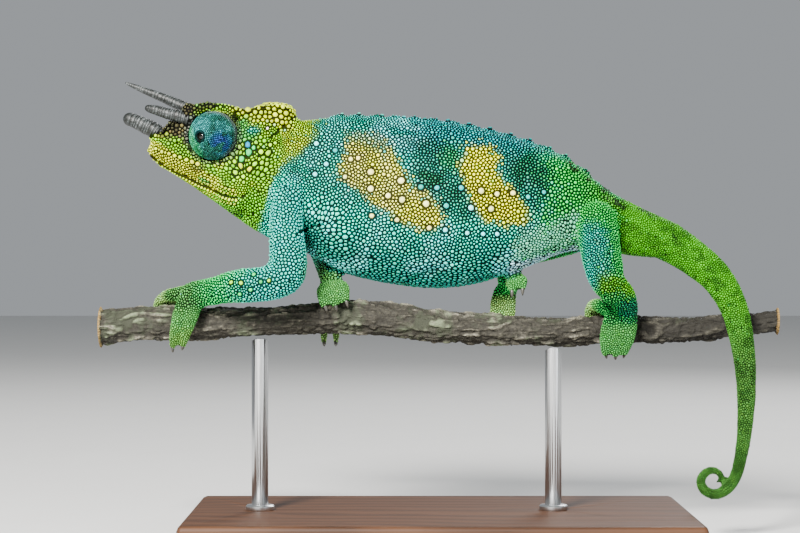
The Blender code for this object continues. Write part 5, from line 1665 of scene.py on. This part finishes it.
def perch(frame):
    """The cut branch: furrowed bark, a knot and sawn ends."""
    obj = plain_copy("perch_bark", frame["nodes"]["perch"])
    melt = obj.modifiers.new("melt", "REMESH")
    melt.mode = "VOXEL"
    melt.voxel_size = BARK_GRAIN * MM
    apply_all(obj)
    bpy.ops.object.shade_smooth()
    mesh = obj.data
    edges = edge_ends(mesh)
    co = vertex_places(mesh)
    end = np.abs(co[:, 0]) > (np.abs(co[:, 0]).max() - 0.25 * MM)
    set_vertex_places(mesh, np.where(end[:, None], co, smoothed_surface(co, edges, 4)))
    normals = vertex_normals(mesh)
    co = vertex_places(mesh)
    long = co * (0.28, 1, 1)
    warp = (lattice_noise(co, 7, 70) - 0.5) * 3 * MM
    ridge = 1 - np.abs(2 * lattice_noise(long + warp[:, None] * (0, 1, 1), 2.3, 71) - 1)
    flake = lattice_noise(co, 1.3, 72)
    furrow = ramp(ridge, 0.25, 0.75)
    knot = np.hypot(co[:, 0] / MM - KNOT[0], co[:, 2] / MM - KNOT[2]) + 20 * (co[:, 1] > 0)
    rings = 0.5 * np.exp(-(((knot - 3.0) / 1.1) ** 2)) + 0.25 * np.cos(knot * 4) * ramp(knot, 3, 1)
    fine = 1 - np.abs(2 * lattice_noise(co * (0.45, 1, 1) + warp[:, None] * (0, 1, 1), 1.0, 74) - 1)
    press = 0.62 * furrow * (1 - ramp(knot, 4.5, 2.5)) + 0.30 * flake + 0.45 * ramp(fine, 0.45, 0.9)
    press = press + 0.22 * lattice_noise(co, 0.7, 73)
    press = press + 0.9 * ramp(knot, 2.4, 0.4) - rings * 0.4 + 0.15
    press = np.maximum(press, 0.02) * np.where(end, 0, 1)
    sunk = co - normals * (press * MM)[:, None]
    sunk[:, 0] = np.clip(sunk[:, 0], co[:, 0].min(), co[:, 0].max())
    set_vertex_places(mesh, sunk)
    # Depth of the bark's hollows, used to paint shade into them.
    set_amounts(mesh, "hollow", np.clip(press / 1.2, 0, 1))
    set_amounts(mesh, "sawn", end & (np.abs(normals[:, 0]) > 0.5))
    return obj


def bark_look():
    look = Look("bark", specular_ior_level=0.2)
    hollow = look.attribute("hollow", "Fac")
    fibre = look.noise(1.0, 5.0, look.stretched((160, 900, 900)), 0.65)
    speck = look.noise(1300, 3.0, roughness=0.7)
    stops = ((0.25, linear("bark_dark")), (0.5, linear("bark")), (0.72, linear("bark_light")))
    colour = look.add("ShaderNodeValToRGB", {"stops": stops}, {0: fibre * 0.6 + speck * 0.6 - 0.08})
    level = look.add("ShaderNodeSeparateXYZ", inputs={0: look.place()}, output=0)
    # The branch past x 35 mm is darkened and its lichen thinned: a painted shadow.
    colour = look.mix(level.ramp(0.035, 0.060) * 0.75, colour, linear("bark_dark"))
    growth = look.noise(75, 4.0, roughness=0.6) - level.ramp(0.03, 0.06) * 0.12 + look.noise(520, 3.0) * 0.35
    colour = look.mix(growth.ramp(0.66, 0.78) * 0.8, colour, linear("lichen"))
    # Furrows and the knot hole are darkened by their depth: painted shade.
    colour = look.mix(hollow.ramp(0.36, 0.95) * 0.85, colour, linear("bark_dark"))
    rings = look.add("ShaderNodeVectorMath", {"operation": "LENGTH"}, {0: look.stretched((0, 1, 1))}, 1)
    grain = look.noise(1.0, 2.0, look.stretched((90, 500, 500)))
    wave = (rings * 9000 + grain * 9).sine() * 0.5 + 0.5
    wood = look.mix(wave * 0.5 + grain * 0.3, linear("cut_wood"), linear("walnut"))
    look.surface("Base Color", look.mix(look.attribute("sawn", "Fac"), colour, wood))
    look.surface("Roughness", speck * 0.3 + 0.6)
    height = fibre * 0.8 + speck * 0.6
    look.surface("Normal", look.bump(height, 0.9, 0.0005))
    return look.material


def wood_look():
    look = Look("walnut", specular_ior_level=0.18)
    warp = look.noise(1.0, 3.0, look.stretched((9, 22, 22)))
    grain = look.noise(1.0, 6.0, look.stretched((14, 420, 420)), 0.6)
    depth = look.add("ShaderNodeSeparateXYZ", inputs={0: look.place()}, output=1)
    wave = (depth * 700 + warp * 26).sine() * 0.5 + 0.5
    amount = wave * 0.45 + grain * 0.75 - 0.12
    pores = look.noise(1.0, 2.0, look.stretched((120, 2600, 2600)))
    colour = look.mix(amount, linear("walnut_dark"), linear("walnut"))
    look.surface("Base Color", look.mix(pores.ramp(0.62, 0.72) * 0.6, colour, linear("bark_dark")))
    look.surface("Roughness", grain * 0.25 + 0.42)
    look.surface("Normal", look.bump(pores * 0.6 + grain * 0.4, 0.25, 0.0002))
    return look.material


def steel_look():
    look = Look("brushed_steel", metallic=1.0)
    brushed = look.noise(1.0, 3.0, look.stretched((4000, 4000, 120)), 0.7)
    look.surface("Base Color", look.mix(brushed, (0.42, 0.43, 0.44), (0.66, 0.67, 0.68)))
    look.surface("Roughness", brushed * 0.22 + 0.22)
    look.surface("Normal", look.bump(brushed, 0.15, 0.00008))
    return look.material


def stand(frame):
    """The wooden base and the two rods, each rod with a collar where it meets the base."""
    base = plain_copy("base_walnut", frame["nodes"]["stand_base"])
    select_only(base)
    bpy.ops.object.shade_smooth_by_angle(angle=math.radians(30))
    base.modifiers.new("even", "WEIGHTED_NORMAL").keep_sharp = True
    apply_all(base)
    wear(base, wood_look(), "base_wood", "stand_base")
    top = max(v.co.z for v in base.data.vertices) / MM
    steel = steel_look()
    for node in ("stand_rod_front", "stand_rod_back"):
        rod = plain_copy(node + "_steel", frame["nodes"][node])
        x, y = (vertex_places(rod.data) / MM)[:, :2].mean(0)
        collar = tube(node + "_collar", [(x, y, top + height, radius) for height, radius in COLLAR], 14)
        join([rod, collar])
        bpy.ops.object.shade_smooth_by_angle(angle=math.radians(35))
        wear(rod, steel, "rod_steel", node)


def studio_light(name, place, target, size, power, colour):
    light = bpy.data.lights.new(name, "AREA")
    light.shape = "DISK"
    light.size = size
    light.energy = power
    light.color = colour
    obj = link(name, light)
    obj.location = place
    obj.rotation_euler = (Vector(target) - Vector(place)).to_track_quat("-Z", "Y").to_euler()


def set_camera():
    camera = bpy.data.cameras.new("view_from_left")
    camera.lens = LENS
    camera.sensor_width = SENSOR
    camera.clip_start = 0.01
    camera.clip_end = 20
    obj = link("view_from_left", camera)
    obj.location = CAMERA_PLACE
    obj.rotation_euler = (math.radians(90), 0, 0)
    bpy.context.scene.camera = obj


def set_stage():
    deselect_all()
    bpy.ops.mesh.primitive_plane_add(size=FLOOR_SIZE, location=(0, 0, FLOOR_HEIGHT))
    floor = bpy.context.active_object
    floor.name = "studio_floor"
    look = Look("studio_floor", specular_ior_level=0.2)
    look.surface("Base Color", look.mix(look.noise(30, 3.0), (0.60, 0.60, 0.59), (0.63, 0.63, 0.62)))
    look.surface("Roughness", look.noise(60, 2.0) * 0.1 + 0.7)
    floor.data.materials.append(look.material)
    world = bpy.data.worlds.new("studio")
    bpy.context.scene.world = world
    world.use_nodes = True
    sky = world.node_tree.nodes["Background"]
    sky.inputs["Color"].default_value = SKY_COLOUR
    sky.inputs["Strength"].default_value = SKY_LIGHT
    for name, settings in LIGHTS.items():
        studio_light(name, *settings)


def main():
    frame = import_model()
    rng = np.random.default_rng(SEED)
    skin = Skin(frame)
    # The bare skin between scales keeps only a small share of the marking: painted shade in the gaps.
    set_colours(skin.obj.data, "tint", markings(skin.co, skin.masks, skin) * gap_shade(skin.masks))
    wear(skin.obj, skin_look(), "skin_body", *FLESH_NODES)
    coat(skin, rng)
    keratin = horn_look()
    for name, path in HORN_PATHS.items():
        wear(horn(name, path), keratin, "horn", name)
    claws(claw_look())
    looks = {"turret": skin_look(), "scales": scale_look(), "eyeball": eyeball_look()}
    for side, label in ((-1, "left"), (1, "right")):
        eye(side, label, rng, looks)
    wear(perch(frame), bark_look(), "bark", "perch")
    stand(frame)
    set_camera()
    set_stage()


main()
